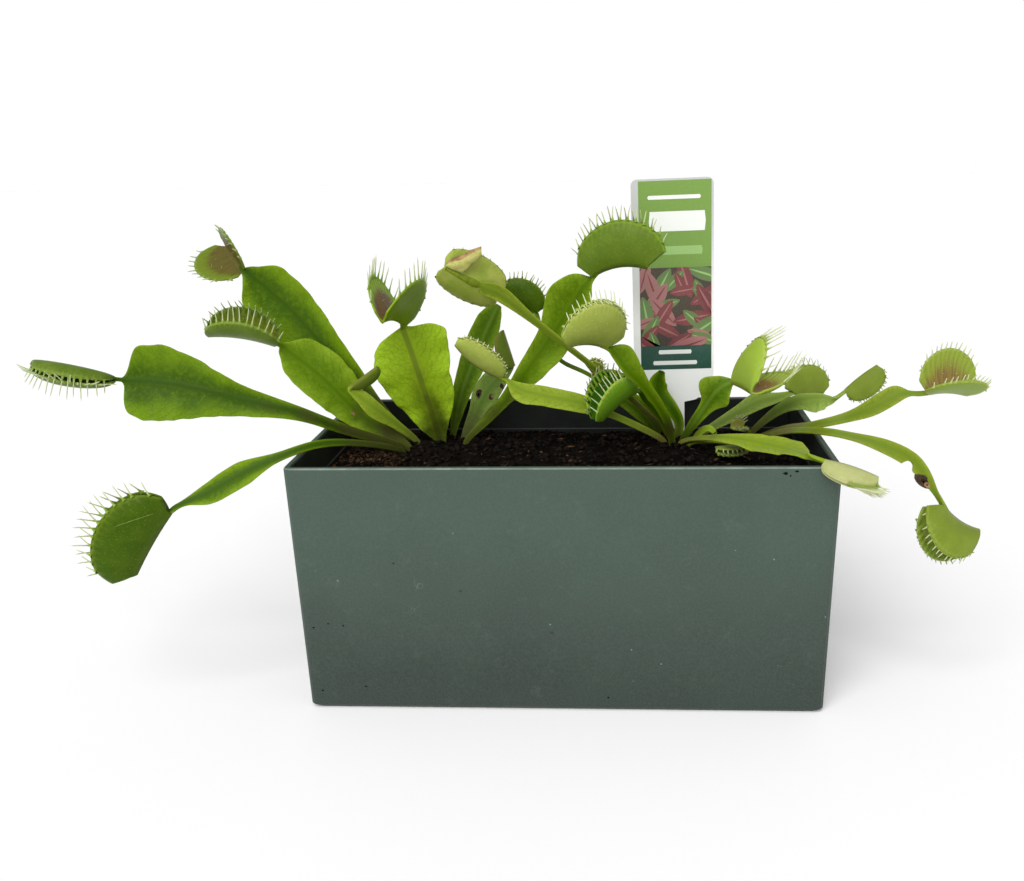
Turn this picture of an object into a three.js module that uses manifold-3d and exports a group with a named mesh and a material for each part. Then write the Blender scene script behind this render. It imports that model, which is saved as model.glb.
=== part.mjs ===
// A trough planter with three venus flytraps and a plant label standing in the soil.
// Millimetres, +Z up, front of the trough towards -Y. The origin is the centre of the trough's base.

import * as THREE from 'three';
import { mergeVertices } from 'three/addons/utils/BufferGeometryUtils.js';
import Module from 'manifold-3d';

const wasm = await Module();
wasm.setup();

// Trough
const TROUGH_LENGTH = 200;
const TROUGH_DEPTH = 104;
const TROUGH_HEIGHT = 98;
const WALL = 2.6;
const FLOOR = 3;
const TAPER = 1.6; // how much each side draws in from rim to base
const OUTER_CORNER = 3;
const INNER_CORNER = 0.8;
const BASE_EDGE = 1.6; // bevel between wall and base
const LIP = 0.5; // bevel of the rim's two edges
const LEDGE_HEIGHT = 84.6; // the inside wall is a little thicker below this line
const LEDGE_STEP = 0.4;
const DRAIN_RADIUS = 4;
const DRAIN_X = [-70, -23, 23, 70];
const DRAIN_Y = [-24, 24];

// Soil
const GAP = 0.3; // kept between pieces that touch
const SOIL_EDGE = 83.2; // soil height along the walls
const SOIL_ROUGHNESS = 0.7;
const SOIL_CELLS_X = 22;
const SOIL_CELLS_Y = 11;
const PLANTS = [[-58, 24], [47, 27], [80, 29]]; // where the soil heaps up around each plant
const HEAP_HEIGHT = 2.2;
const HEAP_REACH = 17;

// Plant label
const LABEL_WIDTH = 34.5;
const LABEL_TOP = 193.8;
const LABEL_BOTTOM = 110;
const LABEL_THICK = 0.8;
const LABEL_CORNER = 2.5;
const LABEL_X = 47.9; // of its centre line, carried down to the base of the trough
const LABEL_Y = 43.5;
const LABEL_LEAN = -0.02; // radians, top towards the left
const STAKE_WIDTH = 9;
const STAKE_TOP = 98;
const STAKE_POINT = 62;
const STAKE_END = 52;

// Leaves
const MID_THICK = 0.9; // half thickness on the midrib
const EDGE_THICK = 0.35; // half thickness at the blade's edge
const SHELL_THICK = 0.9; // wall of a trap lobe
const ROOT_DEPTH = 5; // a petiole's foot lies this far under its first knot
const ROOT_DRAW = 0.1; // and this share of the first run behind it
const TOOTH_RADIUS = 0.46;
const TOOTH_ROOT = 1.2; // how far a tooth is sunk into the lobe
const TOOTH_LEAN = 0.25; // how far a tooth leans over the mouth
const MERGE = 0.03; // corners closer to a flat run than this are dropped

const GREEN = {
  fresh: 0x7fa62a,
  bright: 0x8fb433,
  deep: 0x55801c,
  dull: 0x7d9a55,
  pale: 0xa3b04b,
};

// Each leaf: knots [x, y, z, left, right] run from the soil to the trap. left and right are the blade's
// half widths on either side of its midrib, seen from the face with the tip up. face is the way the
// blade's upper side looks. A trap has its hinge end, the midrib's run, the way its mouth opens, the
// lobes' height and opening angle. cup bulges the lobes, bow arches the midrib, fan splays the margin,
// lean pushes the margin on towards the tip, and end is the lobes' height at the two ends as a share.
const LEAVES = [
  {
    name: 'leaf_left_1', tone: 'fresh', face: [0.25, -0.85, 0.5],
    knots: [[-71, 11, 86, 1.3, 1.3], [-81, -14, 96.3, 1.4, 1.4], [-92, -31, 101, 1.6, 1.6],
      [-105.5, -40, 98.4, 1.8, 2], [-118, -43, 93.3, 4.8, 4.4], [-130, -46, 87.2, 4.6, 3.4],
      [-138.5, -48, 84, 1.5, 1.2], [-143.5, -49, 81.3, 1, 1]],
    trap: { joint: [-144.5, -50, 80.5], along: [-15.5, -2, -23.5], mouth: [-0.81, -0.2, 0.55],
      height: 20, open: 10, cup: 33, bow: 0.02, fan: 0.4, lean: 0.05, end: 0.4, teeth: 10,
      tooth: 8 },
  },
  {
    name: 'leaf_left_2', tone: 'fresh', face: [0.15, -0.92, 0.3],
    knots: [[-71, 16, 86, 1.5, 1.5], [-89.5, 2, 97, 2, 2.2], [-106.5, -8, 107.5, 3.3, 2.6],
      [-129, -12, 114.5, 7.4, 5.8], [-146, -14, 119.5, 12.8, 11.2], [-159.5, -15, 122, 15.3, 14.4],
      [-168.5, -15, 122.5, 12.9, 11.5], [-172.5, -15, 123, 1.3, 1.3]],
    trap: { joint: [-175.5, -15, 123], along: [-32, -3, 7.5], mouth: [0.1, -0.965, 0.06], height: 15,
      open: 5, cup: 50, bow: 0.02, fan: -0.1, lean: -0.03, end: 0.25, teeth: 10, tooth: 7.5 },
  },
  {
    name: 'leaf_left_3', tone: 'fresh', face: [0.25, -0.88, 0.35],
    knots: [[-70, 20, 86, 1.5, 1.5], [-87, 19, 98, 6, 5.2], [-96, 18, 108, 8.7, 10],
      [-104, 17, 117, 10, 11.3], [-112, 16, 124.5, 8.6, 10], [-117, 15, 129, 3.8, 3.8],
      [-119, 14, 131, 1, 1]],
    trap: { joint: [-121, 14, 131], along: [-26, -3, 4.8], mouth: [0.2, -0.48, 0.86], height: 13,
      open: 42, cup: 32, bow: 0.07, fan: 0.15, lean: -0.03, end: 0.28, teeth: 9, tooth: 7 },
  },
  {
    name: 'leaf_left_4', tone: 'fresh', face: [0.2, -0.92, 0.25],
    knots: [[-70, 29, 86, 1.3, 1.3], [-84, 31, 99, 3.5, 3.5], [-96, 32, 115, 5.5, 5.5],
      [-109, 32, 131, 11.4, 8.5], [-119, 32, 143, 13.2, 10.6], [-129, 31, 153, 12.2, 10.5],
      [-134, 30, 158, 5.1, 4.3], [-137, 30, 160, 1.1, 1.1]],
    trap: { joint: [-137, 30, 160], along: [-9, 6.5, 9.5], mouth: [-0.4, -0.87, 0.28], height: 17,
      open: 75, cup: 11, bow: 0, fan: 0.33, lean: 0, end: 0.33, teeth: 7, tooth: 4 },
  },
  {
    name: 'leaf_left_5', tone: 'fresh', face: [0.45, -0.8, 0.4],
    knots: [[-66, 24, 86, 1.3, 1.3], [-73, 17, 96, 2.6, 1.7], [-80, 11, 104, 4.2, 3],
      [-85, 9, 109, 2.5, 3.3], [-89, 8, 113, 1.2, 1.2]],
    trap: { joint: [-89, 8, 113.5], along: [12, 1, 8.2], mouth: [0.41, 0.6, -0.68], height: 4.2,
      open: 8, cup: 26, bow: 0, fan: -0.05, lean: 0.05, end: 0.15, teeth: 0, tooth: 0 },
  },
  {
    name: 'leaf_left_6', tone: 'bright', face: [-0.05, -0.96, 0.28],
    knots: [[-56, 26, 86, 2.6, 2.6], [-57.5, 26, 92, 6.1, 5.7], [-60, 25, 103, 11.7, 11.7],
      [-63, 24, 115, 16.3, 13.9], [-66, 24, 126, 16.2, 17], [-68, 24, 132.5, 11.5, 15.5],
      [-69, 24, 136, 1.4, 1.4]],
    trap: { joint: [-68, 23, 137], along: [-4.8, -17.7, 4.8], mouth: [0.1, 0.22, 0.97],
      height: 19.5, open: 64, cup: 8, bow: 0.11, fan: 0.3, lean: -0.03, end: 0.38, teeth: 9,
      tooth: 8.5 },
  },
  {
    name: 'leaf_left_7', tone: 'deep', face: [0.1, -0.95, 0.3],
    knots: [[-52, 37, 86, 1.4, 1.4], [-48, 39, 103, 4, 4], [-42, 41, 118, 5.8, 5.8],
      [-36, 41, 131, 6.6, 5.7], [-32, 41, 139, 4.4, 3.5], [-30, 41, 142, 1.3, 1.3]],
  },
  {
    name: 'leaf_left_8', tone: 'dull', face: [-0.05, -0.95, 0.3],
    knots: [[-46, 33, 86, 1.8, 1.8], [-40, 33, 97, 4, 3.5], [-36, 33, 105, 5.8, 5.8],
      [-30, 33, 112, 5.2, 4.4], [-25, 32, 116, 1.3, 1.3]],
    trap: { joint: [-24, 32, 117], along: [-4.3, -1, 15.7], mouth: [-0.88, -0.4, -0.27], height: 5,
      open: 8, cup: 24, bow: 0, fan: 0, lean: -0.04, end: 0.15, teeth: 0, tooth: 0 },
  },
  {
    name: 'leaf_left_9', tone: 'deep', face: [0.05, -0.97, 0.25],
    knots: [[-44, 26, 86, 1.3, 1.3], [-34, 25, 96, 2.2, 1.8], [-25, 24, 106, 3, 2.8],
      [-15, 23, 120, 4.4, 7.6], [-6, 22, 132, 6.2, 9], [2, 20, 144, 11.4, 7.6],
      [7, 18, 152, 8.4, 5.4], [11, 17, 156, 1.2, 1.2]],
    trap: { joint: [11, 16, 157.5], along: [21.4, -4, 3.7], mouth: [-0.14, 0.15, 0.98], height: 18,
      open: 12, cup: 35, bow: 0.11, fan: 0.63, lean: 0.08, end: 0.4, teeth: 10, tooth: 6.5 },
  },
  {
    name: 'leaf_middle_1', tone: 'bright', face: [-0.1, -0.85, 0.5],
    knots: [[40, 24, 86, 1.3, 1.3], [30.5, 19, 93, 1.5, 1.5], [18, 15, 100, 1.7, 1.6],
      [8, 12, 105, 4, 3.4], [-8, 10, 109, 4.6, 4], [-18, 9, 112, 5.2, 3], [-24, 9, 116, 1, 1]],
    trap: { joint: [-26, 9, 117.5], along: [-17.7, -3, 14.7], mouth: [0.65, -0.12, 0.75], height: 9,
      open: 9, cup: 42, bow: -0.08, fan: 0.04, lean: 0, end: 0.15, teeth: 7, tooth: 2.5 },
  },
  {
    name: 'leaf_middle_2', tone: 'fresh', face: [-0.3, -0.9, -0.2],
    knots: [[43, 32, 86, 1.3, 1.3], [31, 22, 101, 1.3, 1.3], [14, 14, 118, 1.2, 1.2],
      [-1, 11, 131, 1.4, 1.4], [-14, 10, 142, 2, 2], [-25, 10, 151, 3.4, 3.8],
      [-32, 10, 154, 3, 2.6], [-35, 10, 156, 1.2, 1.2]],
    trap: { joint: [-35, 10, 155.5], along: [-12, -4, 7.3], mouth: [-0.18, 0.96, 0.2], height: 11.5,
      open: 120, cup: 22, bow: -0.02, fan: 0.85, lean: -0.36, end: 0.5, teeth: 6, tooth: 1.8 },
  },
  {
    name: 'leaf_middle_3', tone: 'deep', face: [0, -0.95, 0.3],
    knots: [[46, 37, 86, 1, 1], [27, 36, 100, 0.9, 0.9], [9, 34, 112.5, 0.9, 0.9],
      [-3, 33, 119, 0.9, 0.9], [-10, 33, 128, 0.9, 0.9], [-13, 33, 139, 0.9, 0.9]],
    trap: { joint: [-13, 33, 140], along: [-13, 0, 7], mouth: [0.48, 0.13, 0.87], height: 10.5,
      open: 10, cup: 36, bow: 0.02, fan: 0.35, lean: 0.06, end: 0.4, teeth: 8, tooth: 6 },
  },
  {
    name: 'leaf_middle_4', tone: 'fresh', face: [-0.3, -0.9, 0.3],
    knots: [[43.5, 27, 86, 1.3, 1.3], [38, 23, 98, 1.3, 1.3], [33, 19.5, 104.4, 1.2, 1.2],
      [30, 16.3, 109.5, 1.2, 1.2]],
    trap: { joint: [29, 15.5, 110], along: [-14.5, -10.3, -9.8], mouth: [-0.27, -0.43, 0.86],
      height: 16.3, open: 38, cup: 26, bow: 0.05, fan: 0.18, lean: 0.08, end: 0.28, teeth: 8,
      tooth: 5.5 },
  },
  {
    name: 'leaf_middle_5', tone: 'fresh', face: [-0.1, -0.95, 0.25],
    knots: [[44, 20, 86, 1.5, 1.5], [42, 14, 96, 1.7, 1.7], [37, 8, 106, 1.6, 2.5],
      [31, 3, 115, 1.6, 3.2], [25, 0, 122, 2, 5.8], [21, -1, 128, 2, 6.2], [18, -2, 131, 1.2, 1.2]],
    trap: { joint: [16, -2, 132], along: [-14, -5.5, 1.2], mouth: [0.3, -0.42, 0.85], height: 21.5,
      open: 7, cup: 35, bow: 0.12, fan: 0.7, lean: -0.1, end: 0.38, teeth: 9, tooth: 5.5 },
  },
  {
    name: 'leaf_middle_6', tone: 'deep', face: [-0.2, -0.9, 0.3],
    knots: [[47.5, 32.5, 86, 1.8, 1.8], [47.5, 33, 92, 2.2, 2.2], [44.5, 33, 98, 3.5, 2.6],
      [39.5, 34, 104, 4.4, 3.5], [38.5, 34, 109, 3.9, 3.9], [40, 33, 114, 1.4, 1.4]],
  },
  {
    name: 'leaf_middle_7', tone: 'fresh', face: [0, -0.92, 0.38],
    knots: [[49, 25, 86, 1.5, 1.5], [53, 19, 95, 2.1, 2.1], [58, 16, 104, 2.9, 4.2],
      [61, 14, 109, 8, 7.4], [64, 13, 112, 5, 6], [68, 12, 114, 1.2, 1.2]],
    trap: { joint: [68, 12, 114], along: [6, -16, -0.5], mouth: [0.72, 0.28, 0.63], height: 21.5,
      open: 55, cup: 30, bow: 0.02, fan: 0.15, lean: -0.02, end: 0.34, teeth: 8, tooth: 9 },
  },
  {
    name: 'leaf_middle_8', tone: 'fresh', face: [0, -0.8, 0.6],
    knots: [[53.5, 24, 86, 0.9, 0.9], [56, 21, 90, 1.8, 1.4], [59, 18, 92.5, 1.8, 1.4],
      [61.5, 15, 91.5, 1, 0.8]],
  },
  {
    name: 'leaf_middle_9', tone: 'bright', face: [0, -0.7, 0.7],
    knots: [[51, 18.5, 85.5, 0.9, 0.9], [55.5, 15, 88.3, 1.2, 1.2], [63, 9.5, 89.6, 1.2, 1.2],
      [71, 4.5, 89.8, 1.2, 1.2]],
    trap: { joint: [73, 3, 89.5], along: [-12.5, -2.5, -0.3], mouth: [0.2, -0.97, -0.1],
      height: 5.6, open: 45, cup: 20, bow: 0, fan: 0.1, lean: 0, end: 0.3, teeth: 6, tooth: 1.8 },
  },
  {
    name: 'leaf_middle_10', tone: 'bright', face: [0, -0.62, 0.78],
    knots: [[48.5, 20, 86.5, 1.3, 1.3], [57.5, 8, 91.5, 1.6, 1.6], [68, -6, 95, 3, 3.8],
      [77, -18, 96.3, 5, 5.8], [84, -30, 97.8, 5.6, 5.2], [87, -39, 99, 3.4, 3],
      [89, -46, 100, 1.1, 1.1]],
    trap: { joint: [92.5, -54, 100.5], along: [17.4, -5, -4.8], mouth: [-0.35, -0.55, -0.76],
      height: 6.3, open: 10, cup: 40, bow: -0.04, fan: 0.05, lean: 0, end: 0.3, teeth: 7,
      tooth: 4 },
  },
  {
    name: 'leaf_middle_11', tone: 'dull', face: [0, -0.85, 0.5],
    knots: [[55.5, 29, 86, 1.3, 1.3], [64, 31, 91, 2, 2], [73, 34, 95.5, 2.8, 3.2],
      [82, 38, 99, 4.2, 3.6], [91, 43, 99.6, 2.4, 2.2], [98.5, 48, 100.6, 1, 1]],
    trap: { joint: [100, 48, 100.4], along: [12.2, 3, 0], mouth: [0, 0.22, 0.97], height: 12.5,
      open: 20, cup: 26, bow: 0.02, fan: 0.6, lean: -0.09, end: 0.28, teeth: 8, tooth: 4.5 },
  },
  {
    name: 'leaf_middle_12', tone: 'deep', face: [-0.3, -0.85, 0.45],
    knots: [[38.5, 33, 85.5, 1.3, 1.3], [35.5, 30, 92.5, 3, 4], [29.5, 27, 100, 4.4, 4.4],
      [21, 24.5, 106.6, 3.4, 3.4], [16, 23, 111.5, 1.7, 1.7], [13, 22, 114.5, 0.9, 0.9]],
    trap: { joint: [12.5, 22, 115], along: [-4, -2.7, 6.2], mouth: [0.86, -0.14, 0.49], height: 5,
      open: 16, cup: 17, bow: 0, fan: 0, lean: 0, end: 0.3, teeth: 4, tooth: 2 },
  },
  {
    name: 'leaf_right_1', tone: 'fresh', face: [0, -0.9, 0.4],
    knots: [[80, 37, 86, 1.3, 1.3], [89, 30, 97, 2.2, 2.2], [96, 22, 103.5, 2.5, 4],
      [103, 18, 106, 1.7, 6.7], [107, 16, 106, 1.2, 5], [110, 15, 106, 1, 1]],
    trap: { joint: [114, 14, 109], along: [12, -1.5, 10.6], mouth: [0.65, -0.18, -0.74],
      height: 8.2, open: 12, cup: 30, bow: -0.03, fan: 0.1, lean: 0, end: 0.3, teeth: 7,
      tooth: 2.5 },
  },
  {
    name: 'leaf_right_2', tone: 'fresh', face: [0, -0.85, 0.5],
    knots: [[82, 28, 86, 1.1, 1.1], [90, 10, 95, 1.4, 1.4], [98, -10, 102, 1.6, 1.6],
      [109, -14, 106, 2.1, 2.1], [117, -17, 110, 3.6, 2.9], [125, -18, 115, 4, 2.8],
      [130, -18, 116, 1.2, 1.2], [134, -18, 116, 0.9, 0.9]],
    trap: { joint: [137, -18, 116.3], along: [15, 3, -1.2], mouth: [-0.1, -0.45, 0.86],
      height: 16, open: 70, cup: 14, bow: 0.07, fan: 0.48, lean: 0, end: 0.42, teeth: 8,
      tooth: 4.5 },
  },
  {
    name: 'leaf_right_3', tone: 'fresh', face: [0, -0.85, 0.5],
    knots: [[79, 23, 86, 1.1, 1.1], [88.5, 3, 95.5, 1.4, 1.4], [98, -18, 101.5, 1.5, 1.5],
      [109, -24, 101, 1.6, 1.7], [120, -27, 98, 2.8, 2.8], [129, -29, 94, 2.8, 3.6],
      [134, -30, 88, 2.8, 2.2], [139, -30, 81, 1.1, 1.1]],
    trap: { joint: [142, -30, 75.5], along: [14, 0, -10], mouth: [-0.5, -0.6, -0.62], height: 17.5,
      open: 24, cup: 28, bow: 0.1, fan: 0.4, lean: -0.18, end: 0.4, teeth: 8, tooth: 2.5 },
  },
  {
    name: 'leaf_right_4', tone: 'pale', face: [0, -0.8, 0.6],
    knots: [[78, 29.5, 86, 0.9, 0.9], [76, 27, 90, 1, 1], [74.5, 25, 90.5, 0.9, 0.9]],
    trap: { joint: [74, 25, 90.5], along: [-5, -2, 1.5], mouth: [0.5, -0.5, 0.6], height: 4.5,
      open: 70, cup: 15, bow: 0, fan: 0.1, lean: 0, end: 0.4, teeth: 4, tooth: 3 },
  },
];

// Repeatable random numbers between 0 and 1
function makeRandom(seed) {
  let state = seed;
  return () => {
    state = (state + 0x6d2b79f5) | 0;
    let mixed = Math.imul(state ^ (state >>> 15), 1 | state);
    mixed = (mixed + Math.imul(mixed ^ (mixed >>> 7), 61 | mixed)) ^ mixed;
    return ((mixed ^ (mixed >>> 14)) >>> 0) / 4294967296;
  };
}

const vec = (list) => new THREE.Vector3(list[0], list[1], list[2]);

// A closed solid from points and triangles, turned right side out
function solidOf(points, triangles) {
  const vertProperties = new Float32Array(points.length * 3);
  points.forEach((p, i) => vertProperties.set([p.x, p.y, p.z], i * 3));
  let volume = 0;
  for (const [a, b, c] of triangles) {
    volume += points[a].dot(new THREE.Vector3().crossVectors(points[b], points[c]));
  }
  const triVerts = new Uint32Array(triangles.length * 3);
  triangles.forEach(([a, b, c], i) => triVerts.set(volume > 0 ? [a, b, c] : [a, c, b], i * 3));
  return new wasm.Manifold(new wasm.Mesh({ numProp: 3, vertProperties, triVerts }));
}

// The largest connected piece of a solid, without the crumbs and slivers that a union can leave
function mainPiece(solid) {
  const pieces = solid.asOriginal().simplify(MERGE).decompose();
  pieces.sort((a, b) => b.volume() - a.volume());
  return pieces[0];
}

// A closed sheet: each row holds the points of its upper face and, in the same order, of its lower face.
// Both faces are cut along the same diagonals, so they never cross.
function sheetOf(rows) {
  const across = rows[0].upper.length;
  const points = [];
  for (const row of rows) {
    points.push(...row.upper, ...row.lower);
  }
  const upper = (i, j) => i * across * 2 + j;
  const lower = (i, j) => upper(i, j) + across;
  const triangles = [];
  const quad = (a, b, c, d) => triangles.push([a, b, c], [a, c, d]);
  for (let i = 0; i < rows.length - 1; i += 1) {
    for (let j = 0; j < across - 1; j += 1) {
      quad(upper(i, j), upper(i, j + 1), upper(i + 1, j + 1), upper(i + 1, j));
      triangles.push([lower(i, j), lower(i + 1, j + 1), lower(i, j + 1)]);
      triangles.push([lower(i, j), lower(i + 1, j), lower(i + 1, j + 1)]);
    }
    quad(upper(i, 0), upper(i + 1, 0), lower(i + 1, 0), lower(i, 0));
    quad(upper(i + 1, across - 1), upper(i, across - 1), lower(i, across - 1), lower(i + 1, across - 1));
  }
  const last = rows.length - 1;
  for (let j = 0; j < across - 1; j += 1) {
    quad(upper(0, j + 1), upper(0, j), lower(0, j), lower(0, j + 1));
    quad(upper(last, j), upper(last, j + 1), lower(last, j + 1), lower(last, j));
  }
  return solidOf(points, triangles);
}

// A closed loft through rings of equal point counts, with its two ends fanned from their centres
function loftOf(rings) {
  const count = rings[0].length;
  const points = rings.flat();
  const triangles = [];
  for (let i = 0; i < rings.length - 1; i += 1) {
    for (let j = 0; j < count; j += 1) {
      const next = (j + 1) % count;
      const a = i * count + j;
      const b = i * count + next;
      triangles.push([a, b, b + count], [a, b + count, a + count]);
    }
  }
  for (const end of [0, rings.length - 1]) {
    const centre = new THREE.Vector3();
    rings[end].forEach((p) => centre.add(p));
    const hub = points.push(centre.divideScalar(count)) - 1;
    for (let j = 0; j < count; j += 1) {
      const a = end * count + j;
      const b = end * count + ((j + 1) % count);
      triangles.push(end === 0 ? [hub, b, a] : [hub, a, b]);
    }
  }
  return solidOf(points, triangles);
}

function solidFromGeometry(geometry) {
  geometry.deleteAttribute('normal');
  geometry.deleteAttribute('uv');
  const merged = mergeVertices(geometry);
  const vertProperties = new Float32Array(merged.attributes.position.array);
  const triVerts = new Uint32Array(merged.index.array);
  return new wasm.Manifold(new wasm.Mesh({ numProp: 3, vertProperties, triVerts }));
}

// Half length and half depth of the trough's outside at a height, less an inset
function wallHalf(z, inset) {
  const drawIn = TAPER * (1 - z / TROUGH_HEIGHT);
  return [TROUGH_LENGTH / 2 - drawIn - inset, TROUGH_DEPTH / 2 - drawIn - inset];
}

function roundedRing([halfX, halfY], z, radius) {
  const ring = [];
  const corners = [[1, 1], [-1, 1], [-1, -1], [1, -1]];
  corners.forEach(([signX, signY], corner) => {
    for (let step = 0; step <= 3; step += 1) {
      const angle = (corner + step / 3) * (Math.PI / 2);
      const x = signX * (halfX - radius) + radius * Math.cos(angle);
      const y = signY * (halfY - radius) + radius * Math.sin(angle);
      ring.push(new THREE.Vector3(x, y, z));
    }
  });
  return ring;
}

function makeTrough() {
  const top = TROUGH_HEIGHT;
  const inner = WALL + LEDGE_STEP;
  const rings = [
    roundedRing(wallHalf(0, BASE_EDGE), 0, OUTER_CORNER),
    roundedRing(wallHalf(BASE_EDGE, 0), BASE_EDGE, OUTER_CORNER),
    roundedRing(wallHalf(top, 0), top - LIP, OUTER_CORNER),
    roundedRing(wallHalf(top, LIP), top, OUTER_CORNER - LIP),
    roundedRing(wallHalf(top, WALL - LIP), top, INNER_CORNER + LIP),
    roundedRing(wallHalf(top, WALL), top - LIP, INNER_CORNER),
    roundedRing(wallHalf(LEDGE_HEIGHT, WALL), LEDGE_HEIGHT, INNER_CORNER),
    roundedRing(wallHalf(LEDGE_HEIGHT, inner), LEDGE_HEIGHT - LEDGE_STEP, INNER_CORNER),
    roundedRing(wallHalf(FLOOR, inner), FLOOR, INNER_CORNER),
  ];
  let trough = loftOf(rings);
  for (const x of DRAIN_X) {
    for (const y of DRAIN_Y) {
      const drill = new THREE.CylinderGeometry(DRAIN_RADIUS, DRAIN_RADIUS, FLOOR * 3, 12);
      drill.rotateX(Math.PI / 2);
      drill.translate(x, y, FLOOR / 2);
      trough = trough.subtract(solidFromGeometry(drill));
    }
  }
  return trough;
}

function soilHeight(x, y) {
  let z = SOIL_EDGE;
  for (const [plantX, plantY] of PLANTS) {
    z += HEAP_HEIGHT * Math.exp(-((x - plantX) ** 2 + (y - plantY) ** 2) / HEAP_REACH ** 2);
  }
  return z;
}

function makeSoil(cuts) {
  const random = makeRandom(11);
  const inset = WALL + LEDGE_STEP + GAP;
  const [topX, topY] = wallHalf(SOIL_EDGE, inset);
  const foot = FLOOR + GAP;
  const [footX, footY] = wallHalf(foot, inset);
  const points = [];
  const triangles = [];
  const index = (i, j) => i * (SOIL_CELLS_Y + 1) + j;
  for (let i = 0; i <= SOIL_CELLS_X; i += 1) {
    for (let j = 0; j <= SOIL_CELLS_Y; j += 1) {
      const shareX = (i / SOIL_CELLS_X) * 2 - 1;
      const shareY = (j / SOIL_CELLS_Y) * 2 - 1;
      const onEdge = Math.max(Math.abs(shareX), Math.abs(shareY)) === 1;
      const rough = (random() * 2 - 1) * SOIL_ROUGHNESS;
      const z = onEdge ? SOIL_EDGE : soilHeight(shareX * topX, shareY * topY) + rough;
      points.push(new THREE.Vector3(shareX * topX, shareY * topY, z));
    }
  }
  for (let i = 0; i < SOIL_CELLS_X; i += 1) {
    for (let j = 0; j < SOIL_CELLS_Y; j += 1) {
      triangles.push([index(i, j), index(i + 1, j), index(i + 1, j + 1)]);
      triangles.push([index(i, j), index(i + 1, j + 1), index(i, j + 1)]);
    }
  }
  const rim = [];
  for (let i = 0; i < SOIL_CELLS_X; i += 1) rim.push(index(i, 0));
  for (let j = 0; j < SOIL_CELLS_Y; j += 1) rim.push(index(SOIL_CELLS_X, j));
  for (let i = SOIL_CELLS_X; i > 0; i -= 1) rim.push(index(i, SOIL_CELLS_Y));
  for (let j = SOIL_CELLS_Y; j > 0; j -= 1) rim.push(index(0, j));
  const corners = [[-1, -1], [1, -1], [1, 1], [-1, 1]].map(([signX, signY]) => (
    points.push(new THREE.Vector3(signX * footX, signY * footY, foot)) - 1
  ));
  const sides = [SOIL_CELLS_X, SOIL_CELLS_Y, SOIL_CELLS_X, SOIL_CELLS_Y];
  let start = 0;
  sides.forEach((count, side) => {
    const low = corners[side];
    const nextLow = corners[(side + 1) % 4];
    for (let k = 0; k < count; k += 1) {
      triangles.push([low, rim[(start + k + 1) % rim.length], rim[start + k]]);
    }
    start += count;
    triangles.push([low, nextLow, rim[start % rim.length]]);
  });
  triangles.push([corners[0], corners[2], corners[1]], [corners[0], corners[3], corners[2]]);
  let soil = solidOf(points, triangles);
  for (const cut of cuts) {
    soil = soil.subtract(cut);
  }
  return mainPiece(soil);
}

// The label and its stake as one outline; grow widens it for the slot in the soil
function makeLabel(grow) {
  const half = LABEL_WIDTH / 2 + grow;
  const stake = STAKE_WIDTH / 2 + grow;
  const corner = LABEL_CORNER;
  const outline = new THREE.Shape();
  outline.moveTo(-half, LABEL_BOTTOM);
  outline.lineTo(-half, LABEL_TOP - corner);
  outline.quadraticCurveTo(-half, LABEL_TOP, -half + corner, LABEL_TOP);
  outline.lineTo(half - corner, LABEL_TOP);
  outline.quadraticCurveTo(half, LABEL_TOP, half, LABEL_TOP - corner);
  outline.lineTo(half, LABEL_BOTTOM);
  outline.quadraticCurveTo(half, STAKE_TOP, stake, STAKE_TOP);
  outline.lineTo(stake, STAKE_POINT);
  outline.lineTo(0, STAKE_END - grow * 3);
  outline.lineTo(-stake, STAKE_POINT);
  outline.lineTo(-stake, STAKE_TOP);
  outline.quadraticCurveTo(-half, STAKE_TOP, -half, LABEL_BOTTOM);
  const depth = LABEL_THICK + grow * 2;
  const geometry = new THREE.ExtrudeGeometry(outline, { depth, bevelEnabled: false, curveSegments: 4 });
  geometry.translate(0, 0, -depth / 2);
  geometry.rotateX(Math.PI / 2);
  geometry.rotateY(LABEL_LEAN);
  geometry.translate(LABEL_X, LABEL_Y, 0);
  return solidFromGeometry(geometry);
}

// Uniform Catmull-Rom value at a place along a list of equal-length number lists
function alongKnots(knots, place) {
  const last = knots.length - 1;
  const start = Math.min(Math.floor(place), last - 1);
  const t = place - start;
  const p1 = knots[start];
  const p2 = knots[start + 1];
  const p0 = knots[start - 1] ?? p1.map((value, k) => 2 * value - p2[k]);
  const p3 = knots[start + 2] ?? p2.map((value, k) => 2 * value - p1[k]);
  return p1.map((value, k) => {
    const linear = (p2[k] - p0[k]) * t;
    const square = (2 * p0[k] - 5 * value + 4 * p2[k] - p3[k]) * t * t;
    const cube = (-p0[k] + 3 * value - 3 * p2[k] + p3[k]) * t ** 3;
    return 0.5 * (2 * value + linear + square + cube);
  });
}

// The trap's own axes: along its midrib, out of its mouth, and across from lobe to lobe
function trapFrame(trap) {
  const along = vec(trap.along);
  const length = along.length();
  const forward = along.clone().normalize();
  const mouth = vec(trap.mouth);
  mouth.addScaledVector(forward, -mouth.dot(forward)).normalize();
  const across = new THREE.Vector3().crossVectors(forward, mouth);
  return { joint: vec(trap.joint), forward, mouth, across, length };
}

function midribPoint(trap, axes, t) {
  const lift = trap.bow * axes.length * 4 * t * (1 - t);
  const point = axes.joint.clone().addScaledVector(axes.forward, axes.length * t);
  return point.addScaledVector(axes.mouth, lift);
}

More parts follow.
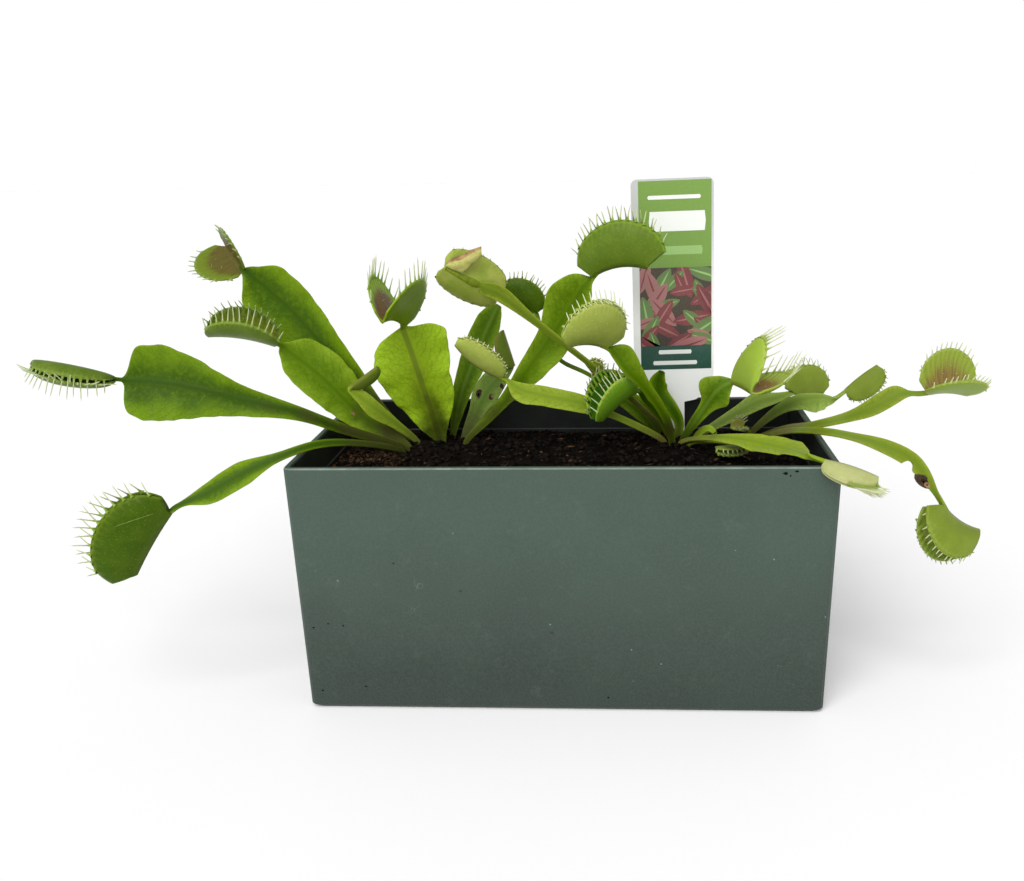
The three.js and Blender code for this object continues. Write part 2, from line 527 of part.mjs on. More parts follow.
// A point of a lobe. t runs along the midrib, v from the midrib (0) to the margin (1), side is -1 or 1.
function lobePoint(trap, axes, t, v, side) {
  const round = Math.max(1 - (2 * t - 1) ** 2, 0);
  const height = trap.height * (trap.end + (1 - trap.end) * round ** 0.6);
  const point = midribPoint(trap, axes, t);
  point.addScaledVector(axes.forward, ((t - 0.5) * trap.fan + trap.lean) * axes.length * v);
  const steps = 8;
  const angleAt = (w) => THREE.MathUtils.degToRad(trap.open / 2 + trap.cup * (1 - 2 * w));
  for (let k = 0; k < steps; k += 1) {
    const angle = angleAt((v * (k + 0.5)) / steps);
    const run = (height * v) / steps;
    point.addScaledVector(axes.mouth, Math.cos(angle) * run);
    point.addScaledVector(axes.across, Math.sin(angle) * run * side);
  }
  const angle = angleAt(v);
  const rise = axes.mouth.clone().multiplyScalar(Math.cos(angle));
  rise.addScaledVector(axes.across, Math.sin(angle) * side);
  const outward = axes.across.clone().multiplyScalar(Math.cos(angle) * side);
  outward.addScaledVector(axes.mouth, -Math.sin(angle));
  return { point, rise, outward };
}

function makeLobes(trap, axes) {
  const rows = [];
  const stations = 7;
  const bands = 3;
  for (let i = 0; i < stations; i += 1) {
    const t = i / (stations - 1);
    const upper = [];
    const lower = [];
    for (let j = -bands; j <= bands; j += 1) {
      const { point, outward } = lobePoint(trap, axes, t, Math.abs(j) / bands, j < 0 ? -1 : 1);
      const away = j === 0 ? axes.mouth.clone().negate() : outward;
      upper.push(point);
      lower.push(point.clone().addScaledVector(away, SHELL_THICK));
    }
    rows.push({ upper, lower });
  }
  return sheetOf(rows);
}

// A three-sided spine with its root sunk into the lobe's margin, one flat side along the lobe
function makeTooth(root, direction, outward, length) {
  const sideways = new THREE.Vector3().crossVectors(direction, outward).normalize();
  const flat = new THREE.Vector3().crossVectors(sideways, direction);
  const points = [30, 150, 270].map((degrees) => {
    const angle = THREE.MathUtils.degToRad(degrees);
    return root.clone().addScaledVector(direction, -TOOTH_ROOT)
      .addScaledVector(flat, Math.cos(angle) * TOOTH_RADIUS)
      .addScaledVector(sideways, Math.sin(angle) * TOOTH_RADIUS);
  });
  points.push(root.clone().addScaledVector(direction, length));
  return solidOf(points, [[0, 2, 1], [0, 1, 3], [1, 2, 3], [2, 0, 3]]);
}

function makeTeeth(trap, axes, random) {
  const teeth = [];
  for (const side of [-1, 1]) {
    for (let k = 0; k < trap.teeth; k += 1) {
      const t = (k + 0.5 + 0.12 * side) / trap.teeth;
      const { point, rise, outward } = lobePoint(trap, axes, t, 1, side);
      const root = point.addScaledVector(outward, SHELL_THICK / 2);
      const direction = rise.clone().addScaledVector(axes.forward, (t - 0.5) * 0.7);
      direction.addScaledVector(axes.forward, (random() - 0.5) * 0.14);
      direction.addScaledVector(outward, -TOOTH_LEAN).normalize();
      const length = trap.tooth * (0.6 + 0.4 * Math.sin(Math.PI * t)) * (0.9 + 0.2 * random());
      teeth.push(makeTooth(root, direction, outward, length));
    }
  }
  return teeth;
}

// The petiole: a winged blade swept along its knots, running on as the trap's midrib
function makePetiole(leaf, grow) {
  const [first, second] = leaf.knots;
  const foot = first.map((value, k) => value - (k < 2 ? ROOT_DRAW * (second[k] - value) : 0));
  foot[2] -= ROOT_DEPTH + grow;
  const knots = [foot, ...leaf.knots];
  let mouth = null;
  if (leaf.trap) {
    const axes = trapFrame(leaf.trap);
    mouth = axes.mouth;
    knots.push([...midribPoint(leaf.trap, axes, 0.12).toArray(), 0.9, 0.9]);
  }
  const last = knots.length - 1;
  const stations = Math.round(last * 1.5);
  const rows = [];
  for (let i = 0; i <= stations; i += 1) {
    const place = (i / stations) * last;
    const here = alongKnots(knots, place);
    const centre = vec(here);
    const before = vec(alongKnots(knots, Math.max(place - 0.1, 0)));
    const after = vec(alongKnots(knots, Math.min(place + 0.1, last)));
    const tangent = after.sub(before).normalize();
    const face = vec(leaf.face).normalize();
    if (mouth) {
      const turn = THREE.MathUtils.smoothstep(place, last - 2, last);
      face.lerp(mouth, turn);
    }
    face.addScaledVector(tangent, -face.dot(tangent)).normalize();
    const rightward = new THREE.Vector3().crossVectors(tangent, face);
    const leftHalf = Math.max(here[3], 0.8) + grow;
    const rightHalf = Math.max(here[4], 0.8) + grow;
    const rib = MID_THICK + grow;
    const edge = EDGE_THICK + grow;
    const fold = 0.16;
    const upper = [];
    const lower = [];
    for (const [reach, thick] of [[-leftHalf, edge], [0, rib], [rightHalf, edge]]) {
      const at = centre.clone().addScaledVector(rightward, reach);
      at.addScaledVector(face, Math.abs(reach) * fold);
      upper.push(at.clone().addScaledVector(face, thick));
      lower.push(at.clone().addScaledVector(face, -thick));
    }
    rows.push({ upper, lower });
  }
  return sheetOf(rows);
}

function makeLeaf(leaf, seed) {
  let solid = makePetiole(leaf, 0);
  if (leaf.trap) {
    const axes = trapFrame(leaf.trap);
    solid = solid.add(makeLobes(leaf.trap, axes));
    for (const tooth of makeTeeth(leaf.trap, axes, makeRandom(seed))) {
      solid = solid.add(tooth);
    }
  }
  return mainPiece(solid);
}

function meshOf(name, solid, material) {
  const { vertProperties, triVerts } = solid.getMesh();
  const geometry = new THREE.BufferGeometry();
  geometry.setAttribute('position', new THREE.BufferAttribute(vertProperties, 3));
  geometry.setIndex(new THREE.BufferAttribute(triVerts, 1));
  geometry.computeVertexNormals();
  const mesh = new THREE.Mesh(geometry, material);
  mesh.name = name;
  return mesh;
}

function finish(color, roughness) {
  return new THREE.MeshStandardMaterial({ color, roughness, metalness: 0 });
}

const plantTrough = new THREE.Group();
const soilCuts = [makeLabel(GAP), ...LEAVES.map((leaf) => makePetiole(leaf, GAP))];
plantTrough.add(meshOf('trough', makeTrough(), finish(0x4f6156, 0.6)));
plantTrough.add(meshOf('soil', makeSoil(soilCuts), finish(0x1d1613, 0.95)));
plantTrough.add(meshOf('label', makeLabel(0), finish(0x8cc063, 0.4)));
LEAVES.forEach((leaf, index) => {
  plantTrough.add(meshOf(leaf.name, makeLeaf(leaf, 100 + index), finish(GREEN[leaf.tone], 0.45)));
});

export default plantTrough;
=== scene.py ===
"""Venus flytraps in a trough planter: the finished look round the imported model.

Tables are in millimetres and degrees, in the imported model's frame: x to the right, y to the back,
z up, from the middle of the trough's base. Meshes are made in metres.
"""
import functools
import math
import random

import bpy
from mathutils import Matrix, Vector, noise


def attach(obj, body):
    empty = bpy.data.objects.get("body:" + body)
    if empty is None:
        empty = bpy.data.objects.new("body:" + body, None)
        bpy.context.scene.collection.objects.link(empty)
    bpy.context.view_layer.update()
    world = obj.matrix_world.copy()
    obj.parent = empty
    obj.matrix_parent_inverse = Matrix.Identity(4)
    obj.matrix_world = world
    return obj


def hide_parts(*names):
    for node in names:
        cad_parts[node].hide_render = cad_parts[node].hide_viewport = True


MM = 0.001

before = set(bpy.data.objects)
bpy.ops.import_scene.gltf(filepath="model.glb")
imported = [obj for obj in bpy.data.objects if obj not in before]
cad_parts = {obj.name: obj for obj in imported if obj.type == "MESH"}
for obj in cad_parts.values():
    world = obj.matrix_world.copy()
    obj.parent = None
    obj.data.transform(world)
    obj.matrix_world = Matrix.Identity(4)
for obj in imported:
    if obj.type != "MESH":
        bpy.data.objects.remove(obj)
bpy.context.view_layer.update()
scene = bpy.context.scene


# Tools for materials

def linear(hex_colour):
    """An sRGB hex colour as linear RGBA."""
    parts = [int(hex_colour[i:i + 2], 16) / 255 for i in (1, 3, 5)]
    return tuple(p / 12.92 if p <= 0.04045 else ((p + 0.055) / 1.055) ** 2.4 for p in parts) + (1.0,)


def add_node(tree, kind, feeds=(), **settings):
    """Adds a node with its settings. feeds fills its sockets, in order or by name, with values,
    hex colours, nodes or other sockets."""
    made = tree.nodes.new("ShaderNode" + kind)
    for key, value in settings.items():
        setattr(made, key, value)
    sockets = [s for s in made.inputs if s.enabled]
    if isinstance(feeds, dict):
        pairs = [(next(s for s in sockets if s.name == key), value) for key, value in feeds.items()]
    else:
        pairs = zip(sockets, feeds)
    for socket, value in pairs:
        if isinstance(value, str):
            value = linear(value)
        if isinstance(value, bpy.types.Node):
            value = next(s for s in value.outputs if s.enabled)
        if isinstance(value, bpy.types.NodeSocket):
            tree.links.new(value, socket)
        else:
            socket.default_value = value
    return made


def new_material(name, **surface):
    """A material whose even values are set on its Principled surface, and the tool to add its nodes."""
    made = bpy.data.materials.new(name)
    made.use_nodes = True
    for key, value in surface.items():
        made.node_tree.nodes["Principled BSDF"].inputs[key.replace("_", " ")].default_value = value
    return made, functools.partial(add_node, made.node_tree)


def finish_surface(made, colour, bump=None, rough=None):
    """Joins the last nodes of a finish to its surface."""
    links, surface = made.node_tree.links, made.node_tree.nodes["Principled BSDF"].inputs
    links.new(next(s for s in colour.outputs if s.enabled), surface["Base Color"])
    if bump is not None:
        links.new(bump.outputs[0], surface["Normal"])
    if rough is not None:
        links.new(rough.outputs[0], surface["Roughness"])


def per_mm(size):
    """The scale that gives a pattern features of this many millimetres in object coordinates."""
    return 1 / MM / size


# A Map Range node takes value, from, to, low and high. A Mix node takes amount and two colours.
SOFT = {"interpolation_type": "SMOOTHSTEP"}
COLOUR = {"data_type": "RGBA"}


# Finishes

def moulded_polypropylene():
    """Matte grey-green polypropylene from a fine-textured mould, dusty, with painted light: lighter towards
    the rim, a painted highlight on the rim's upward faces and painted shade on the inner walls.
    """
    made, add = new_material("moulded_polypropylene", IOR=1.49, Roughness=0.5)
    place = add("TexCoord").outputs["Object"]
    height = add("SeparateXYZ", {"Vector": place}).outputs[2]
    cloud = add("TexNoise", {"Vector": place, "Scale": per_mm(48), "Detail": 3.0})
    # Painted light: the body gets lighter with height towards the rim, as if lit from above, plus a random
    # cloud of tone
    painted_top_light_and_tone = add("Math", [
        add("MapRange", [height, 0.0, 85 * MM], **SOFT),
        add("MapRange", [cloud, 0.3, 0.7, -0.12, 0.12], **SOFT),
    ], operation="ADD")
    body = add("Mix", [painted_top_light_and_tone, "#202e26", "#374a3f"], **COLOUR)
    dust = add("TexNoise", {"Vector": place, "Scale": per_mm(6), "Detail": 6.0, "Roughness": 0.7})
    body = add("Mix", [add("MapRange", [dust, 0.55, 0.8, 0.0, 0.14], **SOFT), body, "#6b776e"], **COLOUR)
    fleck = add("TexVoronoi", {"Vector": place, "Scale": per_mm(11)})
    body = add("Mix", [add("MapRange", [fleck, 0.02, 0.035, 0.6, 0.0], **SOFT), body, "#8f998f"], **COLOUR)
    dirt = add("TexVoronoi", {"Vector": place, "Scale": per_mm(19)})
    body = add("Mix", [add("MapRange", [dirt, 0.03, 0.05, 0.8, 0.0], **SOFT), body, "#17201a"], **COLOUR)
    rub = add("TexNoise", {"Vector": place, "Scale": per_mm(13), "Detail": 1.0})
    thin = add("Math", [add("Math", [rub, 0.5], operation="SUBTRACT")], operation="ABSOLUTE")
    patch = add("TexNoise", {"Vector": place, "Scale": per_mm(30), "Detail": 0.0})
    scratch = add("Math", [
        add("MapRange", [thin, 0.0, 0.002, 0.16, 0.0], **SOFT),
        add("MapRange", [patch, 0.66, 0.74], **SOFT),
    ], operation="MULTIPLY")
    body = add("Mix", [scratch, body, "#8d998f"], **COLOUR)
    # The mould's real grain of about 0.2 mm is too fine to show, so it is drawn coarser
    grain = add("TexNoise", {"Vector": place, "Scale": per_mm(0.8), "Detail": 2.0})
    body = add("Mix", [add("MapRange", [grain, 0.3, 0.7, 0.0, 0.12], **SOFT), body, "#5b685e"], **COLOUR)
    flat = add("VectorMath", [place, (1.0, 1.0, 0.0)], operation="MULTIPLY")
    normal = add("NewGeometry").outputs["Normal"]
    outward = add("VectorMath", [flat, normal], operation="DOT_PRODUCT").outputs["Value"]
    facing = add("SeparateXYZ", {"Vector": normal}).outputs[2]
    # Painted highlight: rim faces that tilt upwards are made paler, as if lit from above, broken up by the
    # dust pattern
    edge = add("Math", [
        add("MapRange", [facing, 0.3, 0.5], **SOFT),
        add("MapRange", [facing, 0.98, 0.9], **SOFT),
    ], operation="MULTIPLY")
    painted_rim_highlight = add("Math", [edge, add("MapRange", [height, 90 * MM, 95 * MM], **SOFT)], operation="MULTIPLY")
    body = add("Mix", [
        add("Math", [painted_rim_highlight, add("MapRange", [dust, 0.3, 0.7, 0.4, 1.0], **SOFT)], operation="MULTIPLY"),
        body,
        "#7a877b",
    ], **COLOUR)
    # Painted shade: the inner walls are darkened almost to black, a little broken up by the dust pattern
    painted_inner_shade = add("Math", [
        add("MapRange", [outward, -10 * MM, -30 * MM], **SOFT),
        add("MapRange", [dust, 0.2, 0.8, 1.0, 0.85], **SOFT),
    ], operation="MULTIPLY")
    body = add("Mix", [painted_inner_shade, body, "#060806"], **COLOUR)
    bump = add("Bump", {"Height": grain, "Strength": 0.2, "Distance": 0.2 * MM})
    finish_surface(made, body, bump, add("MapRange", [cloud, 0.3, 0.7, 0.46, 0.58], **SOFT))
    return made


def damp_peat():
    """Dark damp peat: near black, with brown fibre and a few pale grains."""
    made, add = new_material("damp_peat", IOR=1.4, Roughness=0.95, Specular_IOR_Level=0.1)
    place = add("TexCoord").outputs["Object"]
    clod = add("TexNoise", {"Vector": place, "Scale": per_mm(9), "Detail": 8.0, "Roughness": 0.75})
    body = add("Mix", [add("MapRange", [clod, 0.4, 0.7], **SOFT), "#050403", "#1d150f"], **COLOUR)
    grit = add("TexNoise", {"Vector": place, "Scale": per_mm(1.3), "Detail": 5.0, "Roughness": 0.75})
    body = add("Mix", [add("MapRange", [grit, 0.58, 0.74, 0.0, 0.7], **SOFT), body, "#2e2118"], **COLOUR)
    side = add("SeparateXYZ", {"Vector": place}).outputs[0]
    drift = add("TexNoise", {"Vector": place, "Scale": per_mm(20), "Detail": 2.0})
    shift = add("MapRange", [drift, 0.3, 0.7, -14 * MM, 14 * MM], **SOFT)
    side = add("Math", [side, shift], operation="ADD")
    dry = add("Math", [
        add("MapRange", [side, -76 * MM, -96 * MM], **SOFT),
        add("MapRange", [grit, 0.45, 0.6], **SOFT),
    ], operation="MULTIPLY")
    body = add("Mix", [dry, body, "#6f523a"], **COLOUR)
    chip = add("TexVoronoi", {"Vector": place, "Scale": per_mm(1.6)}).outputs["Color"]
    shade = add("SeparateColor", {"Color": chip}).outputs[0]
    body = add("Mix", [add("MapRange", [shade, 0.985, 1.0, 0.0, 0.6], **SOFT), body, "#6b513b"], **COLOUR)
    relief = add("Math", [add("Math", [grit, 0.4], operation="MULTIPLY"), clod], operation="ADD")
    bump = add("Bump", {"Height": relief, "Strength": 1.0, "Distance": 2.2 * MM})
    finish_surface(made, body, bump)
    return made


def peat_crumb(name, dark, light):
    """Loose crumbs, fibres and bark chips lying on the peat: dull and rough, in two mottled tones."""
    made, add = new_material(name, IOR=1.4, Roughness=0.9, Specular_IOR_Level=0.1)
    place = add("TexCoord").outputs["Object"]
    mottle = add("TexNoise", {"Vector": place, "Scale": per_mm(2.2), "Detail": 5.0})
    body = add("Mix", [add("MapRange", [mottle, 0.35, 0.65], **SOFT), dark, light], **COLOUR)
    bump = add("Bump", {"Height": mottle, "Strength": 0.5, "Distance": 0.4 * MM})
    finish_surface(made, body, bump)
    return made


# Living tissue lets a little light through, green most, under a thin dull wax
FLESH = dict(
    Subsurface_Weight=0.12, Subsurface_Scale=2 * MM, Subsurface_Radius=(0.6, 1.0, 0.25),
    Specular_IOR_Level=0.12,
)


def leaf_blade(name, centre, edge, rib, base, veins="#3c5a0c", net=0.3, rib_width=1.0, foot_end=0.4):
    """Living leaf blade, waxy: greener along the rib, yellower to the edges, brown at its foot and
    netted with fine veins."""
    made, add = new_material(name, IOR=1.42, Roughness=0.42, **FLESH)
    place = add("TexCoord").outputs["Object"]
    share = add("SeparateXYZ", {"Vector": add("UVMap", uv_map="share")})
    size = add("UVMap", uv_map="size")
    flat = add("SeparateXYZ", {"Vector": size})
    out = add("Math", [share.outputs[0]], operation="ABSOLUTE")
    reach = add("Math", [flat.outputs[0]], operation="ABSOLUTE")
    cloud = add("TexNoise", {"Vector": place, "Scale": per_mm(12), "Detail": 3.0})
    spread = add("Math", [out, add("MapRange", [cloud, 0.3, 0.7, -0.14, 0.14], **SOFT)], operation="ADD")
    body = add("Mix", [add("MapRange", [spread, 0.2, 1.05], **SOFT), centre, edge], **COLOUR)
    mottle = add("TexNoise", {"Vector": place, "Scale": per_mm(1.8), "Detail": 4.0})
    body = add("Mix", [add("MapRange", [mottle, 0.42, 0.75, 0.0, 0.34], **SOFT), body, edge], **COLOUR)
    # The size map is in millimetres: cells of the net 2 mm wide, side veins 4.6 mm apart
    cell_width, vein_gap = 2, 4.6
    bend = add("TexNoise", {"Vector": size, "Scale": 0.22, "Detail": 2.0})
    warped = add("VectorMath", [size, bend.outputs["Color"]], operation="ADD")
    cells = add("TexVoronoi", {"Vector": warped, "Scale": 1 / cell_width}, feature="DISTANCE_TO_EDGE")
    net_line = add("MapRange", [cells, 0.0, 0.09, 0.7, 0.0], **SOFT)
    slant = add("Math", [
        flat.outputs[1], add("Math", [reach, 1.1], operation="MULTIPLY")
    ], operation="SUBTRACT")
    sway = add("Math", [bend, 7.0], operation="MULTIPLY")
    wave = add("Math", [
        add("Math", [
            add("Math", [slant, sway], operation="ADD"), 2 * math.pi / vein_gap
        ], operation="MULTIPLY")
    ], operation="SINE")
    vein = add("Math", [net_line, add("MapRange", [wave, 0.9, 1.0], **SOFT)], operation="MAXIMUM")
    vein = add("Math", [vein, add("MapRange", [reach, 0.8, 2.2], **SOFT)], operation="MULTIPLY")
    body = add("Mix", [add("Math", [vein, net], operation="MULTIPLY"), body, veins], **COLOUR)
    body = add("Mix", [
        add("MapRange", [reach, 0.5, 2.6 * rib_width, 0.7, 0.0], **SOFT), body, centre
    ], **COLOUR)
    body = add("Mix", [
        add("MapRange", [reach, 0.4 * rib_width, rib_width, 0.7, 0.0], **SOFT), body, rib
    ], **COLOUR)
    foot = add("Math", [
        share.outputs[1], add("MapRange", [cloud, 0.3, 0.7, -0.08, 0.08], **SOFT)
    ], operation="ADD")
    foot = add("Math", [foot, add("MapRange", [reach, 1.5, 10.0, 0.0, 0.2], **SOFT)], operation="ADD")
    body = add("Mix", [
        add("MapRange", [foot, 0.35 * foot_end, foot_end, 0.85, 0.0], **SOFT), body, base
    ], **COLOUR)
    body = add("Mix", [add("MapRange", [out, 0.95, 1.0, 0.0, 0.3], **SOFT), body, "#93a32c"], **COLOUR)
    height = add("Math", [add("Math", [mottle, 0.5], operation="MULTIPLY"), vein], operation="SUBTRACT")
    bump = add("Bump", {"Height": height, "Strength": 0.4, "Distance": 0.3 * MM})
    finish_surface(made, body, bump, add("MapRange", [mottle, 0.3, 0.7, 0.37, 0.5], **SOFT))
    return made


def trap_skin(name, body_hex, rim_hex, specks, blotches):
    """Outside of a trap lobe: firm waxy skin, finely specked, with a light rim and ribs towards it."""
    made, add = new_material(name, IOR=1.42, Roughness=0.4, **FLESH)
    place = add("TexCoord").outputs["Object"]
    share = add("SeparateXYZ", {"Vector": add("UVMap", uv_map="share")})
    along, up = share.outputs[0], share.outputs[1]
    cloud = add("TexNoise", {"Vector": place, "Scale": per_mm(6), "Detail": 4.0})
    body = add("Mix", [
        add("MapRange", [cloud, 0.35, 0.7, 0.0, blotches], **SOFT), body_hex, rim_hex
    ], **COLOUR)
    grain = add("TexNoise", {"Vector": place, "Scale": per_mm(0.7), "Detail": 3.0})
    body = add("Mix", [add("MapRange", [grain, 0.5, 0.75, 0.0, 0.25], **SOFT), body, rim_hex], **COLOUR)
    cells = add("TexVoronoi", {"Vector": place, "Scale": per_mm(1.5)})
    body = add("Mix", [add("MapRange", [cells, 0.08, 0.2, specks, 0.0], **SOFT), body, "#c3cf86"], **COLOUR)
    ribs = add("Math", [add("Math", [along, 2 * math.pi * 15], operation="MULTIPLY")], operation="SINE")
    ribs = add("Math", [
        add("MapRange", [ribs, -0.2, 1.0], **SOFT),
        add("MapRange", [up, 0.7, 0.97], **SOFT),
    ], operation="MULTIPLY")
    body = add("Mix", [add("Math", [ribs, 0.3], operation="MULTIPLY"), body, rim_hex], **COLOUR)
    body = add("Mix", [add("MapRange", [up, 0.88, 0.97, 0.0, 0.75], **SOFT), body, rim_hex], **COLOUR)
    body = add("Mix", [add("MapRange", [up, 0.16, 0.0, 0.0, 0.45], **SOFT), body, rim_hex], **COLOUR)
    height = add("Math", [
        add("Math", [grain, 0.5], operation="MULTIPLY"),
        add("Math", [ribs, 0.7], operation="MULTIPLY"),
    ], operation="ADD")
    bump = add("Bump", {"Height": height, "Strength": 0.35, "Distance": 0.3 * MM})
    finish_surface(made, body, bump)
    return made


def trap_lining(name, deep_hex, mid_hex, rim_hex, stripes, fade):
    """Inside of a trap lobe: glandular skin coloured in fine rays, with a ridged green band under
    the teeth."""
    made, add = new_material(name, IOR=1.42, Roughness=0.38, **FLESH)
    place = add("TexCoord").outputs["Object"]
    share = add("SeparateXYZ", {"Vector": add("UVMap", uv_map="share")})
    along, up = share.outputs[0], share.outputs[1]
    cloud = add("TexNoise", {"Vector": place, "Scale": per_mm(3), "Detail": 4.0})
    # About 34 rays along a lobe, drawn out up it
    ray_place = add("CombineXYZ", [
        add("Math", [along, 34.0], operation="MULTIPLY"),
        add("Math", [up, 1.5], operation="MULTIPLY"),
    ])
    rays = add("TexNoise", {"Vector": ray_place, "Scale": 1.0, "Detail": 4.0})
    body = add("Mix", [add("MapRange", [rays, 0.36, 0.62], **SOFT), deep_hex, mid_hex], **COLOUR)
    body = add("Mix", [add("MapRange", [cloud, 0.4, 0.75, 0.0, 0.5], **SOFT), body, mid_hex], **COLOUR)
    wander = 0.03 + 0.09 * fade
    band = add("Math", [up, add("MapRange", [rays, 0.3, 0.7, -wander, wander], **SOFT)], operation="ADD")
    off = add("Math", [
        add("Math", [add("Math", [along, 0.5], operation="SUBTRACT")], operation="ABSOLUTE"), 2.0
    ], operation="POWER")
    band = add("Math", [band, add("Math", [off, 0.9 * fade], operation="MULTIPLY")], operation="ADD")
    ridges = add("Math", [add("Math", [along, 2 * math.pi * 12], operation="MULTIPLY")], operation="SINE")
    green = add("Mix", [
        add("MapRange", [ridges, -0.6, 0.8, 1.0 - stripes, 1.0], **SOFT), "#2f5c0a", rim_hex
    ], **COLOUR)
    body = add("Mix", [
        add("MapRange", [band, 0.7 - 0.34 * fade, 0.8 + 0.06 * fade], **SOFT), body, green
    ], **COLOUR)
    seam = add("Math", [add("Math", [band, 0.75], operation="SUBTRACT")], operation="ABSOLUTE")
    body = add("Mix", [
        add("MapRange", [seam, 0.0, 0.045, 0.35 * (1 - fade), 0.0], **SOFT), body, rim_hex
    ], **COLOUR)
    # Real glands of about 0.1 mm are too fine to show, so they are drawn coarser
    gland = add("TexVoronoi", {"Vector": place, "Scale": per_mm(0.6)})
    height = add("Math", [
        gland, add("Math", [ridges, add("MapRange", [up, 0.72, 0.95], **SOFT)], operation="MULTIPLY")
    ], operation="ADD")
    bump = add("Bump", {"Height": height, "Strength": 0.35, "Distance": 0.3 * MM})
    finish_surface(made, body, bump)
    return made


def marginal_teeth(name, root_hex, tip_hex):
    """Stiff bristle-like teeth: green at the root, paler and clearer towards the tip."""
    made, add = new_material(name, IOR=1.42, Roughness=0.42, **FLESH)
    share = add("SeparateXYZ", {"Vector": add("UVMap", uv_map="share")})
    place = add("TexCoord").outputs["Object"]
    mottle = add("TexNoise", {"Vector": place, "Scale": per_mm(1.5), "Detail": 2.0})
    reach = add("Math", [
        share.outputs[1], add("MapRange", [mottle, 0.3, 0.7, -0.1, 0.1], **SOFT)
    ], operation="ADD")
    body = add("Mix", [add("MapRange", [reach, 0.1, 0.4], **SOFT), root_hex, tip_hex], **COLOUR)
    finish_surface(made, body)
    return made


def withered_tissue(name, pale, dark):
    """Dying or dead leaf tissue: dry, crinkled and matte."""
    made, add = new_material(name, IOR=1.4, Roughness=0.75)
    place = add("TexCoord").outputs["Object"]
    mottle = add("TexNoise", {"Vector": place, "Scale": per_mm(2.5), "Detail": 6.0, "Roughness": 0.7})
    body = add("Mix", [add("MapRange", [mottle, 0.35, 0.7], **SOFT), pale, dark], **COLOUR)
    bump = add("Bump", {"Height": mottle, "Strength": 0.7, "Distance": 0.4 * MM})
    finish_surface(made, body, bump)
    return made


def printed_polystyrene(name, one, two, top=None):
    """Glossy printed plastic sheet: flat ink with a faint screen of dots, faded or greyed at its top."""
    made, add = new_material(name, IOR=1.55, Roughness=0.35)
    place = add("TexCoord").outputs["Object"]
    fade = add("TexNoise", {"Vector": place, "Scale": per_mm(22), "Detail": 2.0})
    body = add("Mix", [add("MapRange", [fade, 0.35, 0.65], **SOFT), one, two], **COLOUR)
    height = add("SeparateXYZ", {"Vector": place}).outputs[2]
    body = add("Mix", [add("MapRange", [height, 130 * MM, 185 * MM], **SOFT), body, top or two], **COLOUR)
    # A real screen's dots of about 0.2 mm are too fine to show, so they are drawn coarser
    screen = add("TexVoronoi", {"Vector": place, "Scale": per_mm(0.7)})
    body = add("Mix", [add("MapRange", [screen, 0.15, 0.4, 0.03, 0.0], **SOFT), body, "#ffffff"], **COLOUR)
    bump = add("Bump", {"Height": fade, "Strength": 0.05, "Distance": 0.5 * MM})
    finish_surface(made, body, bump)
    return made


def studio_floor():
    """Matte white painted board, very faintly clouded."""
    made, add = new_material("painted_studio_board", Roughness=0.9)
    place = add("TexCoord").outputs["Object"]
    cloud = add("TexNoise", {"Vector": place, "Scale": per_mm(1000 / 3)})
    body = add("Mix", [cloud, "#fbfbfb", "#ffffff"], **COLOUR)
    finish_surface(made, body)
    return made


# Tools for meshes

def new_piece(name, points, faces, materials, places=None):
    """A smooth mesh from points in mm. faces are (corner list, material number); places maps a UV layer's
    name to one (u, v) for each point."""
    mesh = bpy.data.meshes.new(name)
    mesh.from_pydata([Vector(p) * MM for p in points], [], [corners for corners, _ in faces])
    for material in materials:
        mesh.materials.append(material)
    mesh.polygons.foreach_set("material_index", [number for _, number in faces])
    mesh.polygons.foreach_set("use_smooth", [True] * len(faces))
    for layer_name, values in (places or {}).items():
        layer = mesh.uv_layers.new(name=layer_name)
        for loop in mesh.loops:
            layer.data[loop.index].uv = values[loop.vertex_index]
    mesh.update()
    made = bpy.data.objects.new(name, mesh)
    scene.collection.objects.link(made)
    return made


class Build:
    """Points, faces and the two surface maps of one growing piece: share runs over its parts from
    0 or -1 to 1, and size is in millimetres."""

    def __init__(self):
        self.points, self.faces, self.share, self.size = [], [], [], []

    def point(self, place, share=(0.0, 0.0), size=(0.0, 0.0)):
        self.points.append(tuple(place))
        self.share.append(share)
        self.size.append(size)
        return len(self.points) - 1

    def face(self, corners, material):
        self.faces.append((corners, material))

    def strip(self, first, second, material, flip=False, closed=False):
        """Faces between two rows of points."""
        count = len(first) if closed else len(first) - 1
        for k in range(count):
            n = (k + 1) % len(first)
            corners = [first[k], first[n], second[n], second[k]]
            self.face(corners[::-1] if flip else corners, material)

    def piece(self, name, materials):
        places = {"share": self.share, "size": self.size}
        return new_piece(name, self.points, self.faces, materials, places)


def smooth_step(value, start, end):
    """0 at start, 1 at end, eased between them."""
    share = min(max((value - start) / (end - start), 0.0), 1.0)
    return share * share * (3 - 2 * share)


def along_knots(knots, place):
    """Uniform Catmull-Rom value at a place along a list of knots."""
    last = len(knots) - 1
    start = min(int(place), last - 1)
    t = place - start
    p1, p2 = knots[start], knots[start + 1]
    p0 = knots[start - 1] if start > 0 else [2 * a - b for a, b in zip(p1, p2)]
    p3 = knots[start + 2] if start + 2 <= last else [2 * b - a for a, b in zip(p1, p2)]
    found = []
    for a, b, c, d in zip(p0, p1, p2, p3):
        linear_part = (c - a) * t
        square = (2 * a - 5 * b + 4 * c - d) * t * t
        cube = (-a + 3 * b - 3 * c + d) * t ** 3
        found.append(0.5 * (2 * b + linear_part + square + cube))
    return found


# Leaves

